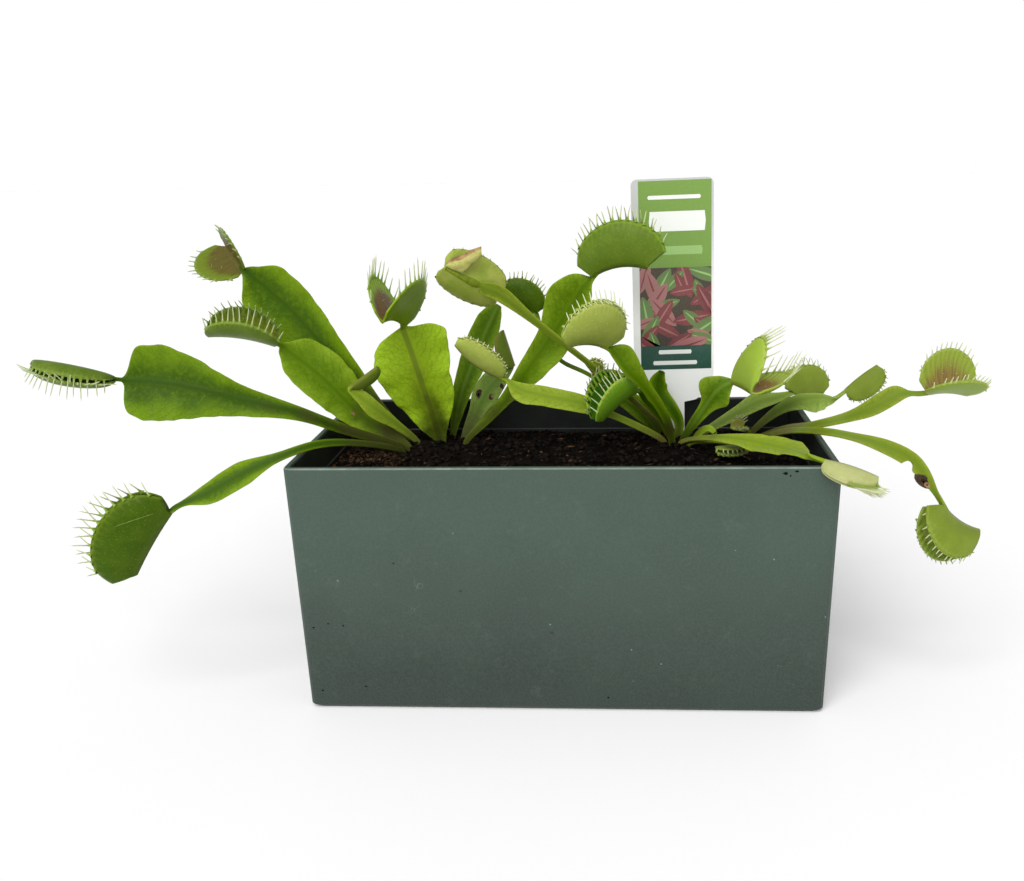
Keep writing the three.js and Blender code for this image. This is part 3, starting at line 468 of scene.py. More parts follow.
# Each leaf has knots from the soil to the trap (x, y, z and the widths of its left and right wings), the
# way its blade faces, the ripple of its edges and its finishes. Some have more:
#   spots    dead spots: place along the knots, share across, half width, half length, finish
#   bites    lost edge: side, run along the leaf, length, share of the wing
#   scratch  its two ends on a lobe (along, up) and the lobe's side
#   keel     half width of the petiole's keel along the midrib
#   fold     near and far edge of a withered margin folded over, and its thickness
#   comb     a lean that all the teeth share
# A trap has its hinge end, the run of its midrib, the way its mouth opens, lobe height, opening angle,
# bulge, arch of the midrib, splay and lean of the margin, end height, and for each lobe the number and
# length of its teeth. Some have the teeth's spread and inward lean, or where they start.

# Material slots of every leaf
BLADE, SKIN, LINING, TOOTH, DEAD, SUNKEN, FADING = range(7)

LEAVES = {
    "leaf_left_1": dict(
        face=(0.25, -0.85, 0.5), ripple=0.5, blade="grass", trap_look="forest",
        scratch=((0.08, 0.34), (0.42, 0.72), -1),
        knots=[
            (-71, 11, 86, 1.3, 1.3), (-81, -14, 96.3, 1.4, 1.4), (-92, -31, 101, 1.6, 1.6),
            (-105.5, -40, 98.4, 1.8, 2), (-118, -43, 93.3, 4.8, 4.4), (-130, -46, 87.2, 4.6, 3.4),
            (-138.5, -48, 84, 1.5, 1.2), (-143.5, -49, 81.3, 1, 1),
        ],
        trap=dict(
            joint=(-144.5, -50, 80.5), along=(-15.5, -2, -23.5), mouth=(-0.81, -0.2, 0.55), height=20,
            open=10, cup=33, bow=0.02, fan=0.4, lean=0.05, end=0.4, teeth=13, tooth=9.4, inward=0.05,
        ),
    ),
    "leaf_left_2": dict(
        face=(0.15, -0.92, 0.3), ripple=0.8, blade="deep", trap_look="sage", comb=(-0.25, 0.1, -0.75),
        knots=[
            (-71, 16, 86, 1.5, 1.5), (-89.5, 2, 97, 2, 2.2), (-106.5, -8, 107.5, 3.3, 2.6),
            (-129, -12, 114.5, 7.4, 5.8), (-146, -14, 119.5, 12.8, 11.2),
            (-159.5, -15, 122, 15.3, 14.4), (-168.5, -15, 122.5, 12.9, 11.5),
            (-172.5, -15, 123, 1.3, 1.3),
        ],
        trap=dict(
            joint=(-175.5, -15, 123), along=(-32, -3, 7.5), mouth=(0.1, -0.965, 0.06), height=15,
            open=5, cup=50, bow=0.02, fan=-0.1, lean=-0.03, end=0.25, teeth=14, tooth=8.6, spread=1.3,
        ),
    ),
    "leaf_left_3": dict(
        face=(0.25, -0.88, 0.35), ripple=0.8, blade="olive", trap_look="sage",
        spots=((2.3, -0.25, 0.7, 0.9, DEAD),),
        knots=[
            (-70, 20, 86, 1.5, 1.5), (-87, 19, 98, 6, 5.2), (-96, 18, 108, 8.7, 10),
            (-104, 17, 117, 10, 11.3), (-112, 16, 124.5, 8.6, 10), (-117, 15, 129, 3.8, 3.8),
            (-119, 14, 131, 1, 1),
        ],
        trap=dict(
            joint=(-121, 14, 131), along=(-26, -3, 4.8), mouth=(0.2, -0.48, 0.86), height=13, open=42,
            cup=32, bow=0.07, fan=0.15, lean=-0.03, end=0.28, teeth=13, tooth=7,
        ),
    ),
    "leaf_left_4": dict(
        face=(0.2, -0.92, 0.25), ripple=0.7, blade="grass", trap_look="bronze",
        knots=[
            (-70, 29, 86, 1.3, 1.3), (-84, 31, 99, 3.5, 3.5), (-96, 32, 115, 5.5, 5.5),
            (-109, 32, 131, 11.4, 8.5), (-119, 32, 143, 13.2, 10.6), (-129, 31, 153, 12.2, 10.5),
            (-134, 30, 158, 5.1, 4.3), (-137, 30, 160, 1.1, 1.1),
        ],
        trap=dict(
            joint=(-137, 30, 160), along=(-9, 6.5, 9.5), mouth=(-0.4, -0.87, 0.28), height=17, open=75,
            cup=11, bow=0, fan=0.33, lean=0, end=0.33, teeth=10, tooth=4,
        ),
    ),
    "leaf_left_5": dict(
        face=(0.45, -0.8, 0.4), ripple=0.3, blade="lime", trap_look="dry",
        knots=[
            (-66, 24, 86, 1.3, 1.3), (-73, 17, 96, 2.6, 1.7), (-80, 11, 104, 4.2, 3),
            (-85, 9, 109, 2.5, 3.3), (-89, 8, 113, 1.2, 1.2),
        ],
        trap=dict(
            joint=(-89, 8, 113.5), along=(12, 1, 8.2), mouth=(0.41, 0.6, -0.68), height=4.2, open=8,
            cup=26, bow=0, fan=-0.05, lean=0.05, end=0.15, teeth=0, tooth=0,
        ),
    ),
    "leaf_left_6": dict(
        face=(-0.05, -0.96, 0.28), ripple=0.9, blade="bright", trap_look="flushed",
        knots=[
            (-56, 26, 86, 2.6, 2.6), (-57.5, 26, 92, 6.1, 5.7), (-60, 25, 103, 11.7, 11.7),
            (-63, 24, 115, 16.3, 13.9), (-66, 24, 126, 16.2, 17), (-68, 24, 132.5, 11.5, 15.5),
            (-69, 24, 136, 1.4, 1.4),
        ],
        trap=dict(
            joint=(-68, 23, 137), along=(-4.8, -17.7, 4.8), mouth=(0.1, 0.22, 0.97), height=19.5,
            open=64, cup=8, bow=0.11, fan=0.3, lean=-0.03, end=0.38, teeth=11, tooth=9.2, inward=0.6,
        ),
    ),
    "leaf_left_7": dict(
        face=(0.1, -0.95, 0.3), ripple=0.5, blade="shade",
        knots=[
            (-52, 37, 86, 1.4, 1.4), (-48, 39, 103, 4, 4), (-42, 41, 118, 5.8, 5.8),
            (-36, 41, 131, 6.6, 5.7), (-32, 41, 139, 4.4, 3.5), (-30, 41, 142, 1.3, 1.3),
        ],
    ),
    "leaf_left_8": dict(
        face=(-0.05, -0.95, 0.3), ripple=0.4, blade="dull", trap_look="dry",
        spots=(
            (2.75, -0.48, 1.5, 2.6, SUNKEN), (3, 0.47, 1.3, 1.9, SUNKEN), (3.06, 0.5, 0.7, 0.8, DEAD),
            (3.8, 0.72, 1.5, 1.2, SUNKEN),
        ),
        knots=[
            (-46, 33, 86, 1.8, 1.8), (-40, 33, 97, 4, 3.5), (-36, 33, 105, 5.8, 5.8),
            (-30, 33, 112, 5.2, 4.4), (-25, 32, 116, 1.3, 1.3),
        ],
        trap=dict(
            joint=(-24, 32, 117), along=(-4.3, -1, 15.7), mouth=(-0.88, -0.4, -0.27), height=5, open=8,
            cup=24, bow=0, fan=0, lean=-0.04, end=0.15, teeth=0, tooth=0,
        ),
    ),
    "leaf_left_9": dict(
        face=(0.05, -0.97, 0.25), ripple=0.7, blade="olive", trap_look="mid",
        knots=[
            (-44, 26, 86, 1.3, 1.3), (-34, 25, 96, 2.2, 1.8), (-25, 24, 106, 3, 2.8),
            (-15, 23, 120, 4.4, 7.6), (-6, 22, 132, 6.2, 9), (2, 20, 144, 11.4, 7.6),
            (7, 18, 152, 8.4, 5.4), (11, 17, 156, 1.2, 1.2),
        ],
        trap=dict(
            joint=(11, 16, 157.5), along=(21.4, -4, 3.7), mouth=(-0.14, 0.15, 0.98), height=18, open=12,
            cup=35, bow=0.11, fan=0.63, lean=0.08, end=0.4, teeth=12, tooth=8, inward=0.08,
        ),
    ),
    "leaf_middle_1": dict(
        face=(-0.1, -0.85, 0.5), ripple=0.4, blade="lime", trap_look="pale",
        knots=[
            (40, 24, 86, 1.3, 1.3), (30.5, 19, 93, 1.5, 1.5), (18, 15, 100, 1.7, 1.6),
            (8, 12, 105, 4, 3.4), (-8, 10, 109, 4.6, 4), (-18, 9, 112, 5.2, 3), (-24, 9, 116, 1, 1),
        ],
        trap=dict(
            joint=(-26, 9, 117.5), along=(-17.7, -3, 14.7), mouth=(0.65, -0.12, 0.75), height=9, open=9,
            cup=42, bow=-0.08, fan=0.04, lean=0, end=0.15, teeth=10, tooth=2.4,
        ),
    ),
    "leaf_middle_2": dict(
        face=(-0.3, -0.9, -0.2), ripple=0.3, blade="moss", trap_look="yellowing", keel=1.8,
        fold=(
            ((-46, 5, 162.8), (-42.9, 5, 161.6), (-39.3, 5, 160.6), (-35.6, 5, 163.9), (-31.6, 5, 166.7)),
            ((-46.4, 6, 163.9), (-43.7, 6, 166), (-39.5, 6, 167.4), (-35.8, 6, 169.3), (-31.9, 6, 170.5)),
            0.6,
        ),
        knots=[
            (43, 32, 86, 1.3, 1.3), (31, 22, 101, 1.3, 1.3), (14, 14, 118, 1.2, 1.2),
            (-1, 11, 131, 1.4, 1.4), (-14, 10, 142, 2, 2), (-25, 10, 151, 3.4, 3.8),
            (-32, 10, 154, 3, 2.6), (-35, 10, 156, 1.2, 1.2),
        ],
        trap=dict(
            joint=(-35, 10, 155.5), along=(-12, -4, 7.3), mouth=(-0.18, 0.96, 0.2), height=11.5,
            open=120, cup=22, bow=-0.02, fan=0.85, lean=-0.36, end=0.5, teeth=9, tooth=1.4,
        ),
    ),
    "leaf_middle_3": dict(
        face=(0, -0.95, 0.3), ripple=0, blade="shade", trap_look="forest",
        knots=[
            (46, 37, 86, 1, 1), (27, 36, 100, 0.9, 0.9), (9, 34, 112.5, 0.9, 0.9),
            (-3, 33, 119, 0.9, 0.9), (-10, 33, 128, 0.9, 0.9), (-13, 33, 139, 0.9, 0.9),
        ],
        trap=dict(
            joint=(-13, 33, 140), along=(-13, 0, 7), mouth=(0.48, 0.13, 0.87), height=10.5, open=10,
            cup=36, bow=0.02, fan=0.35, lean=0.06, end=0.4, teeth=7, tooth=5.5,
        ),
    ),
    "leaf_middle_4": dict(
        face=(-0.3, -0.9, 0.3), ripple=0, blade="grass", trap_look="vivid",
        knots=[
            (43.5, 27, 86, 1.3, 1.3), (38, 23, 98, 1.3, 1.3), (33, 19.5, 104.4, 1.2, 1.2),
            (30, 16.3, 109.5, 1.2, 1.2),
        ],
        trap=dict(
            joint=(29, 15.5, 110), along=(-14.5, -10.3, -9.8), mouth=(-0.27, -0.43, 0.86), height=16.3,
            open=38, cup=26, bow=0.05, fan=0.18, lean=0.08, end=0.28, teeth=13, tooth=5.5,
        ),
    ),
    "leaf_middle_5": dict(
        face=(-0.1, -0.95, 0.25), ripple=0.4, blade="olive", trap_look="pale",
        knots=[
            (44, 20, 86, 1.5, 1.5), (42, 14, 96, 1.7, 1.7), (37, 8, 106, 1.6, 2.5),
            (31, 3, 115, 1.6, 3.2), (25, 0, 122, 2, 5.8), (21, -1, 128, 2, 6.2),
            (18, -2, 131, 1.2, 1.2),
        ],
        trap=dict(
            joint=(16, -2, 132), along=(-14, -5.5, 1.2), mouth=(0.3, -0.42, 0.85), height=21.5, open=1,
            cup=35, bow=0.12, fan=0.7, lean=-0.1, end=0.38, teeth=14, tooth=5.8, inward=0.5,
        ),
    ),
    "leaf_middle_6": dict(
        face=(-0.2, -0.9, 0.3), ripple=0.5, blade="grass",
        knots=[
            (47.5, 32.5, 86, 1.8, 1.8), (47.5, 33, 92, 2.2, 2.2), (44.5, 33, 98, 3.5, 2.6),
            (39.5, 34, 104, 4.4, 3.5), (38.5, 34, 109, 3.9, 3.9), (40, 33, 114, 1.4, 1.4),
        ],
    ),
    "leaf_middle_7": dict(
        face=(0, -0.92, 0.38), ripple=0.6, blade="shade", trap_look="tawny",
        knots=[
            (49, 25, 86, 1.5, 1.5), (53, 19, 95, 2.1, 2.1), (58, 16, 104, 2.9, 4.2),
            (61, 14, 109, 8, 7.4), (64, 13, 112, 5, 6), (68, 12, 114, 1.2, 1.2),
        ],
        trap=dict(
            joint=(68, 12, 114), along=(6, -16, -0.5), mouth=(0.72, 0.28, 0.63), height=21.5, open=55,
            cup=30, bow=0.02, fan=0.15, lean=-0.02, end=0.34, teeth=12, tooth=10,
        ),
    ),
    "leaf_middle_8": dict(
        face=(0, -0.8, 0.6), ripple=0.2, blade="lime",
        knots=[
            (53.5, 24, 86, 0.9, 0.9), (56, 21, 90, 1.8, 1.4), (59, 18, 92.5, 1.8, 1.4),
            (61.5, 15, 91.5, 1, 0.8),
        ],
    ),
    "leaf_middle_9": dict(
        face=(0, -0.7, 0.7), ripple=0.2, blade="lime", trap_look="fresh",
        knots=[
            (51, 18.5, 85.5, 0.9, 0.9), (55.5, 15, 88.3, 1.2, 1.2), (63, 9.5, 89.6, 1.2, 1.2),
            (71, 4.5, 89.8, 1.2, 1.2),
        ],
        trap=dict(
            joint=(73, 3, 89.5), along=(-12.5, -2.5, -0.3), mouth=(0.2, -0.97, -0.1), height=6, open=16,
            cup=26, bow=0, fan=0.1, lean=0, end=0.3, teeth=8, tooth=1.8,
        ),
    ),
    "leaf_middle_10": dict(
        face=(0, -0.62, 0.78), ripple=0.5, blade="lime", trap_look="faded", comb=(2.0, -0.35, -0.25),
        knots=[
            (48.5, 20, 86.5, 1.3, 1.3), (57.5, 8, 91.5, 1.6, 1.6), (68, -6, 95, 3, 3.8),
            (77, -18, 96.3, 5, 5.8), (84, -30, 97.8, 5.6, 5.2), (87, -39, 99, 3.4, 3),
            (89, -46, 100, 1.1, 1.1),
        ],
        trap=dict(
            joint=(92.5, -54, 100.5), along=(17.4, -5, -4.8), mouth=(-0.35, -0.55, -0.76), height=6.3,
            open=10, cup=40, bow=-0.04, fan=0.05, lean=0, end=0.3, teeth=12, tooth=8.5,
            toothed_from=0.5,
        ),
    ),
    "leaf_middle_11": dict(
        face=(0, -0.85, 0.5), ripple=0.5, blade="hazy", trap_look="fresh",
        knots=[
            (55.5, 29, 86, 1.3, 1.3), (64, 31, 91, 2, 2), (73, 34, 95.5, 2.8, 3.2),
            (82, 38, 99, 4.2, 3.6), (91, 43, 99.6, 2.4, 2.2), (98.5, 48, 100.6, 1, 1),
        ],
        trap=dict(
            joint=(100, 48, 100.4), along=(12.2, 3, 0), mouth=(0, 0.22, 0.97), height=12.5, open=20,
            cup=26, bow=0.02, fan=0.6, lean=-0.09, end=0.28, teeth=9, tooth=4.5,
        ),
    ),
    "leaf_middle_12": dict(
        face=(-0.3, -0.85, 0.45), ripple=0.4, blade="shade", trap_look="yellowing",
        knots=[
            (38.5, 33, 85.5, 1.3, 1.3), (35.5, 30, 92.5, 3, 4), (29.5, 27, 100, 4.4, 4.4),
            (21, 24.5, 106.6, 3.4, 3.4), (16, 23, 111.5, 1.7, 1.7), (13, 22, 114.5, 0.9, 0.9),
        ],
        trap=dict(
            joint=(12.5, 22, 115), along=(-4, -2.7, 6.2), mouth=(0.86, -0.14, 0.49), height=5, open=16,
            cup=17, bow=0, fan=0, lean=0, end=0.3, teeth=5, tooth=2,
        ),
    ),
    "leaf_right_1": dict(
        face=(0, -0.9, 0.4), ripple=0.5, blade="hazy", trap_look="fresh",
        knots=[
            (80, 37, 86, 1.3, 1.3), (89, 30, 97, 2.2, 2.2), (96, 22, 103.5, 2.5, 4),
            (103, 18, 106, 1.7, 6.7), (107, 16, 106, 1.2, 5), (110, 15, 106, 1, 1),
        ],
        trap=dict(
            joint=(114, 14, 109), along=(12, -1.5, 10.6), mouth=(0.65, -0.18, -0.74), height=8.2,
            open=12, cup=30, bow=-0.03, fan=0.1, lean=0, end=0.3, teeth=9, tooth=2.4,
        ),
    ),
    "leaf_right_2": dict(
        face=(0, -0.85, 0.5), ripple=0.4, blade="moss", trap_look="umber",
        knots=[
            (82, 28, 86, 1.1, 1.1), (90, 10, 95, 1.4, 1.4), (98, -10, 102, 1.6, 1.6),
            (109, -14, 106, 2.1, 2.1), (117, -17, 110, 3.6, 2.9), (125, -18, 115, 4, 2.8),
            (130, -18, 116, 1.2, 1.2), (134, -18, 116, 0.9, 0.9),
        ],
        trap=dict(
            joint=(137, -18, 116.3), along=(15, 3, -1.2), mouth=(-0.1, -0.45, 0.86), height=16, open=70,
            cup=14, bow=0.07, fan=0.48, lean=0, end=0.42, teeth=13, tooth=3.6,
        ),
    ),
    "leaf_right_3": dict(
        face=(0, -0.85, 0.5), ripple=0.4, blade="moss", trap_look="fresh", bites=((1, 90, 2.5, 0.8),),
        spots=((7.2, 0.85, 2.2, 3.8, SUNKEN), (7.45, 0.75, 1.2, 1.5, DEAD)),
        knots=[
            (79, 23, 86, 1.1, 1.1), (88.5, 3, 95.5, 1.4, 1.4), (98, -18, 101.5, 1.5, 1.5),
            (109, -24, 101, 1.6, 1.7), (120, -27, 98, 2.8, 2.8), (129, -29, 94, 2.8, 3.6),
            (134, -30, 88, 2.8, 2.2), (139, -30, 81, 1.1, 1.1),
        ],
        trap=dict(
            joint=(142, -30, 75.5), along=(14, 0, -10), mouth=(-0.5, -0.6, -0.62), height=17.5, open=24,
            cup=28, bow=0.1, fan=0.4, lean=-0.18, end=0.4, teeth=13, tooth=2.5,
        ),
    ),
    "leaf_right_4": dict(
        face=(0, -0.8, 0.6), ripple=0, blade="lime", trap_look="yellowing",
        knots=[
            (78, 29.5, 86, 0.9, 0.9), (76, 27, 90, 1, 1), (74.5, 25, 90.5, 0.9, 0.9),
        ],
        trap=dict(
            joint=(74, 25, 90.5), along=(-5, -2, 1.5), mouth=(0.5, -0.5, 0.6), height=4.5, open=70,
            cup=15, bow=0, fan=0.1, lean=0, end=0.4, teeth=7, tooth=3,
        ),
    ),
}

BLADES = {
    "grass": leaf_blade("waxy_leaf_grass_green", "#3c5a00", "#728f0c", "#325000", "#4c4a22"),
    "deep": leaf_blade("waxy_leaf_dark_green", "#345000", "#658206", "#2c4800", "#44421c"),
    "olive": leaf_blade("waxy_leaf_olive_green", "#557400", "#7b971c", "#4a6800", "#45441c"),
    "bright": leaf_blade(
        "waxy_leaf_yellow_green", "#84a016", "#97b722", "#5c6a1c", "#20240a", veins="#587510", net=0.45,
        rib_width=1.7, foot_end=0.58,
    ),
    "shade": leaf_blade("waxy_leaf_deep_green", "#4b6c08", "#7a9420", "#668028", "#3c4716"),
    "dull": leaf_blade("waxy_leaf_grey_green", "#5f7730", "#788e40", "#546e28", "#4a4c2a"),
    "hazy": leaf_blade("waxy_leaf_hazy_green", "#788e3a", "#91a850", "#6c8434", "#5c5c2e"),
    "moss": leaf_blade("waxy_leaf_moss_green", "#6c7f1c", "#84932c", "#627a1c", "#625c30"),
    "lime": leaf_blade("waxy_leaf_lime_green", "#7f9522", "#94a834", "#708a24", "#625c30"),
}

# For each look: the trap's outside and rim, the deep and middle tones of its lining, how strongly its
# green band is striped, how densely its skin is specked and blotched, and how softly the lining fades
LOOKS = {
    "forest": ("#385200", "#64791a", "#4c5c20", "#5f7028", 0.4, 0.1, 0.16, 0.0),
    "sage": ("#57701c", "#7e903c", "#68781e", "#7a8828", 0.6, 0.15, 0.3, 0.0),
    "mid": ("#566d1c", "#7a9630", "#547020", "#6c8432", 0.4, 0.1, 0.16, 0.0),
    "fresh": ("#6f802a", "#87983a", "#82923a", "#92a244", 0.4, 0.1, 0.3, 0.0),
    "vivid": ("#70a020", "#9cc040", "#2c5600", "#44781a", 1.0, 0.1, 0.16, 0.0),
    "pale": ("#92a044", "#b4bd62", "#8c9a44", "#9ea854", 0.3, 0.5, 0.25, 0.0),
    "bronze": ("#5a7020", "#708228", "#62502a", "#62622a", 0.0, 0.1, 0.3, 0.55),
    "flushed": ("#6a8410", "#8cab2c", "#64402e", "#74602a", 0.3, 0.1, 0.16, 0.4),
    "tawny": ("#8fa936", "#a6b854", "#84602e", "#9c7f46", 0.3, 0.15, 0.16, 0.4),
    "umber": ("#829a36", "#90a03e", "#7c6240", "#8f7e40", 0.12, 0.1, 0.16, 1.0),
    "dry": ("#5c7220", "#7c7036", "#627430", "#707c3a", 0.0, 0.1, 0.1, 0.0),
    "yellowing": ("#86983a", "#adae58", "#8c9040", "#9e9c4c", 0.0, 0.2, 0.5, 0.0),
    "faded": ("#a0a566", "#bcc088", "#8f9658", "#9ea564", 0.0, 0.5, 0.4, 0.0),
}
SKINS, LININGS = {}, {}
for look_name, (outside, rim_tone, deep, middle, banding, specks, blotches, fade) in LOOKS.items():
    SKINS[look_name] = trap_skin("trap_skin_" + look_name, outside, rim_tone, specks, blotches)
    LININGS[look_name] = trap_lining("trap_lining_" + look_name, deep, middle, rim_tone, banding, fade)
TEETH = marginal_teeth("horny_teeth", "#7a9638", "#b7bf92")
PALE_TEETH = marginal_teeth("pale_horny_teeth", "#93a848", "#cbd1a6")
PALE_TOOTHED = ("pale", "tawny", "vivid", "umber", "faded")
WITHERED = withered_tissue("withered_leaf_margin", "#a98a5c", "#6a432c")
FADED = withered_tissue("faded_leaf_margin", "#b5b268", "#989a48")
SPOT = withered_tissue("sunken_dead_spot", "#4a351c", "#140d07")

FIRST_SEED = 40
STEPS_A_KNOT = 9
# How deep a petiole goes on below its first knot, and its sideways share of the first step
ROOT_DEPTH, ROOT_DRAW = 5, 0.1
# Where on the trap's midrib the petiole ends
HINGE_END = 0.12
# Places across a blade from its rib to one edge
HALF_ACROSS = (0.07, 0.18, 0.34, 0.52, 0.7, 0.85, 0.95, 1)
ACROSS = [-share for share in HALF_ACROSS[::-1]] + [0, *HALF_ACROSS]
LEAST_HALF = 0.8
# Shares of a blade's thickness above and below its middle sheet
UPPER_SHARE, LOWER_SHARE = 0.7, 1.1


def trap_of(leaf):
    """The trap's values by name, with its own axes."""
    trap = dict(leaf["trap"])
    along = Vector(trap["along"])
    trap["length"] = along.length
    trap["forward"] = along.normalized()
    mouth = Vector(trap["mouth"])
    trap["mouth"] = (mouth - trap["forward"] * mouth.dot(trap["forward"])).normalized()
    trap["sideways"] = trap["forward"].cross(trap["mouth"])
    return trap


def midrib_point(trap, t):
    """A point on the trap's arched midrib."""
    lift = trap["bow"] * trap["length"] * 4 * t * (1 - t)
    return Vector(trap["joint"]) + trap["forward"] * trap["length"] * t + trap["mouth"] * lift


def lobe_point(trap, t, v, side):
    """A point on a lobe's inside at t along the midrib and v up, with its rise and outward directions."""
    off = abs(2 * t - 1)
    corner_start, corner_run, corner_drop = 0.84, 0.16, 0.38
    corner = max((off - corner_start) / corner_run, 0)
    height = trap["height"] * (trap["end"] + (1 - trap["end"]) * max(1 - off ** 2, 0) ** 0.6)
    height *= 1 - corner_drop * (1 - math.sqrt(max(1 - corner ** 2, 0)))
    point = midrib_point(trap, t)
    point += trap["forward"] * (((t - 0.5) * trap["fan"] + trap["lean"]) * trap["length"] * v)
    steps = 10
    for k in range(steps):
        angle = math.radians(trap["open"] / 2 + trap["cup"] * (1 - 2 * v * (k + 0.5) / steps))
        point += trap["mouth"] * (math.cos(angle) * height * v / steps)
        point += trap["sideways"] * (math.sin(angle) * height * v / steps * side)
    angle = math.radians(trap["open"] / 2 + trap["cup"] * (1 - 2 * v))
    rise = trap["mouth"] * math.cos(angle) + trap["sideways"] * (math.sin(angle) * side)
    outward = trap["sideways"] * (math.cos(angle) * side) - trap["mouth"] * math.sin(angle)
    return point, rise, outward


def blade_knots(leaf):
    """The leaf's knots from its foot in the peat to the start of its trap's midrib."""
    first, second = leaf["knots"][0], leaf["knots"][1]
    foot = [a - ROOT_DRAW * (b - a) if k < 2 else a for k, (a, b) in enumerate(zip(first, second))]
    foot[2] -= ROOT_DEPTH
    knots = [foot, *leaf["knots"]]
    if "trap" in leaf:
        knots.append((*midrib_point(trap_of(leaf), HINGE_END), 0.9, 0.9))
    return knots


def blade_section(leaf, knots, place):
    """Centre, rightward and facing directions and the two half widths at a place along the knots."""
    last = len(knots) - 1
    x, y, z, left, right = along_knots(knots, place)
    back = Vector(along_knots(knots, max(place - 0.1, 0))[:3])
    ahead = Vector(along_knots(knots, min(place + 0.1, last))[:3])
    tangent = (ahead - back).normalized()
    face = Vector(leaf["face"]).normalized()
    if "trap" in leaf and "keel" not in leaf:
        face = face.lerp(trap_of(leaf)["mouth"], smooth_step(place, last - 2, last))
    face = (face - tangent * face.dot(tangent)).normalized()
    return Vector((x, y, z)), tangent.cross(face), face, left, right


def blade_point(leaf, section, across, run, seed):
    """A point of the blade's middle sheet, with the ripple of its edges, and its reach from the rib."""
    centre, rightward, face, left, right = section
    half = max(right if across > 0 else left, LEAST_HALF)
    broad = smooth_step(half, 2.0, 6.0)
    side = seed + (50 if across > 0 else 0)
    half *= 1 + 0.05 * broad * noise.noise(Vector((run / 4, side, 2.5)))
    for side_sign, bite_run, bite_length, bite_depth in leaf.get("bites", ()):
        if side_sign * across > 0:
            gone = max(1 - ((run - bite_run) / bite_length) ** 2, 0) ** 0.5
            half = max(half * (1 - bite_depth * gone), LEAST_HALF)
    reach = across * half
    fold = abs(reach) * 0.16 * (1 - math.exp(-abs(reach) / 1.5))
    long_wave = 1.5 * noise.noise(Vector((run / 7, side, 0.5)))
    wave = long_wave + 0.8 * noise.noise(Vector((run / 3, side, 8.5)))
    ripple = leaf["ripple"] * broad * abs(across) ** 1.7 * wave
    return centre + rightward * reach + face * (fold + ripple), reach


def blade_thickness(reach):
    """A thin sheet with the rib standing out of it, at a distance from the rib."""
    return 0.28 + 0.6 * math.exp(-(reach / 1.5) ** 2)


def grow_blade(build, leaf, seed):
    """The winged petiole: one closed skin swept along the leaf's knots. Returns the knots and the run
    at each of its sections."""
    knots = blade_knots(leaf)
    last = len(knots) - 1
    steps = last * STEPS_A_KNOT
    run = 0.0
    before = None
    rows = []
    runs = []
    for i in range(steps + 1):
        section = blade_section(leaf, knots, i / steps * last)
        face = section[2]
        if before is not None:
            run += (section[0] - before).length
        before = section[0]
        runs.append(run)
        upper, lower = [], []
        for across in ACROSS:
            at, reach = blade_point(leaf, section, across, run, seed)
            thick = blade_thickness(reach)
            thick *= 1 - 0.55 * smooth_step(abs(across), 0.9, 1.0)
            share, size = (across, i / steps), (reach, run)
            upper.append(build.point(at + face * thick * UPPER_SHARE, share, size))
            lower.append(build.point(at - face * thick * LOWER_SHARE, share, size))
        rows.append((upper, lower))
    for (upper, lower), (next_upper, next_lower) in zip(rows, rows[1:]):
        build.strip(upper, next_upper, BLADE)
        build.strip(lower, next_lower, BLADE, flip=True)
        build.strip([upper[0], lower[0]], [next_upper[0], next_lower[0]], BLADE, flip=True)
        build.strip([upper[-1], lower[-1]], [next_upper[-1], next_lower[-1]], BLADE)
    build.face(rows[0][0] + rows[0][1][::-1], BLADE)
    build.face(rows[-1][1] + rows[-1][0][::-1], BLADE)
    return knots, runs


def grow_spots(build, leaf, knots, runs, seed):
    """Dead spots with pale centres, each a small patch laid on the blade's upper side."""
    last = len(knots) - 1
    ring_count, corners = 4, 14
    for place, across, wide, long, finish in leaf.get("spots", ()):
        run = runs[round(place / last * (len(runs) - 1))]
        centre, _, _, left, right = blade_section(leaf, knots, place)
        half = right if across > 0 else left
        ahead = blade_section(leaf, knots, min(place + 0.1, last))[0]
        per_step = (ahead - centre).length / 0.1
        rings = []
        for ring in range(ring_count):
            row = []
            for n in range(corners):
                angle = 2 * math.pi * n / corners
                turn = Vector((math.cos(angle) * 1.3, math.sin(angle) * 1.3, seed + place))
                share = (ring + 1) / ring_count * (1 + 0.3 * noise.noise(turn))
                spot_place = min(place + math.sin(angle) * long * share / per_step, last)
                spot_across = across + math.cos(angle) * wide * share / half
                section = blade_section(leaf, knots, spot_place)
                at, reach = blade_point(leaf, section, spot_across, run, seed)
                lift = 0.05 if finish == SUNKEN else 0.1
                if ring == ring_count - 1:
                    lift = -0.1
                row.append(build.point(at + section[2] * (blade_thickness(reach) * UPPER_SHARE + lift)))
            rings.append(row)
        build.face(rings[0], DEAD)
        for row, next_row in zip(rings, rings[1:]):
            build.strip(row, next_row, finish, closed=True)


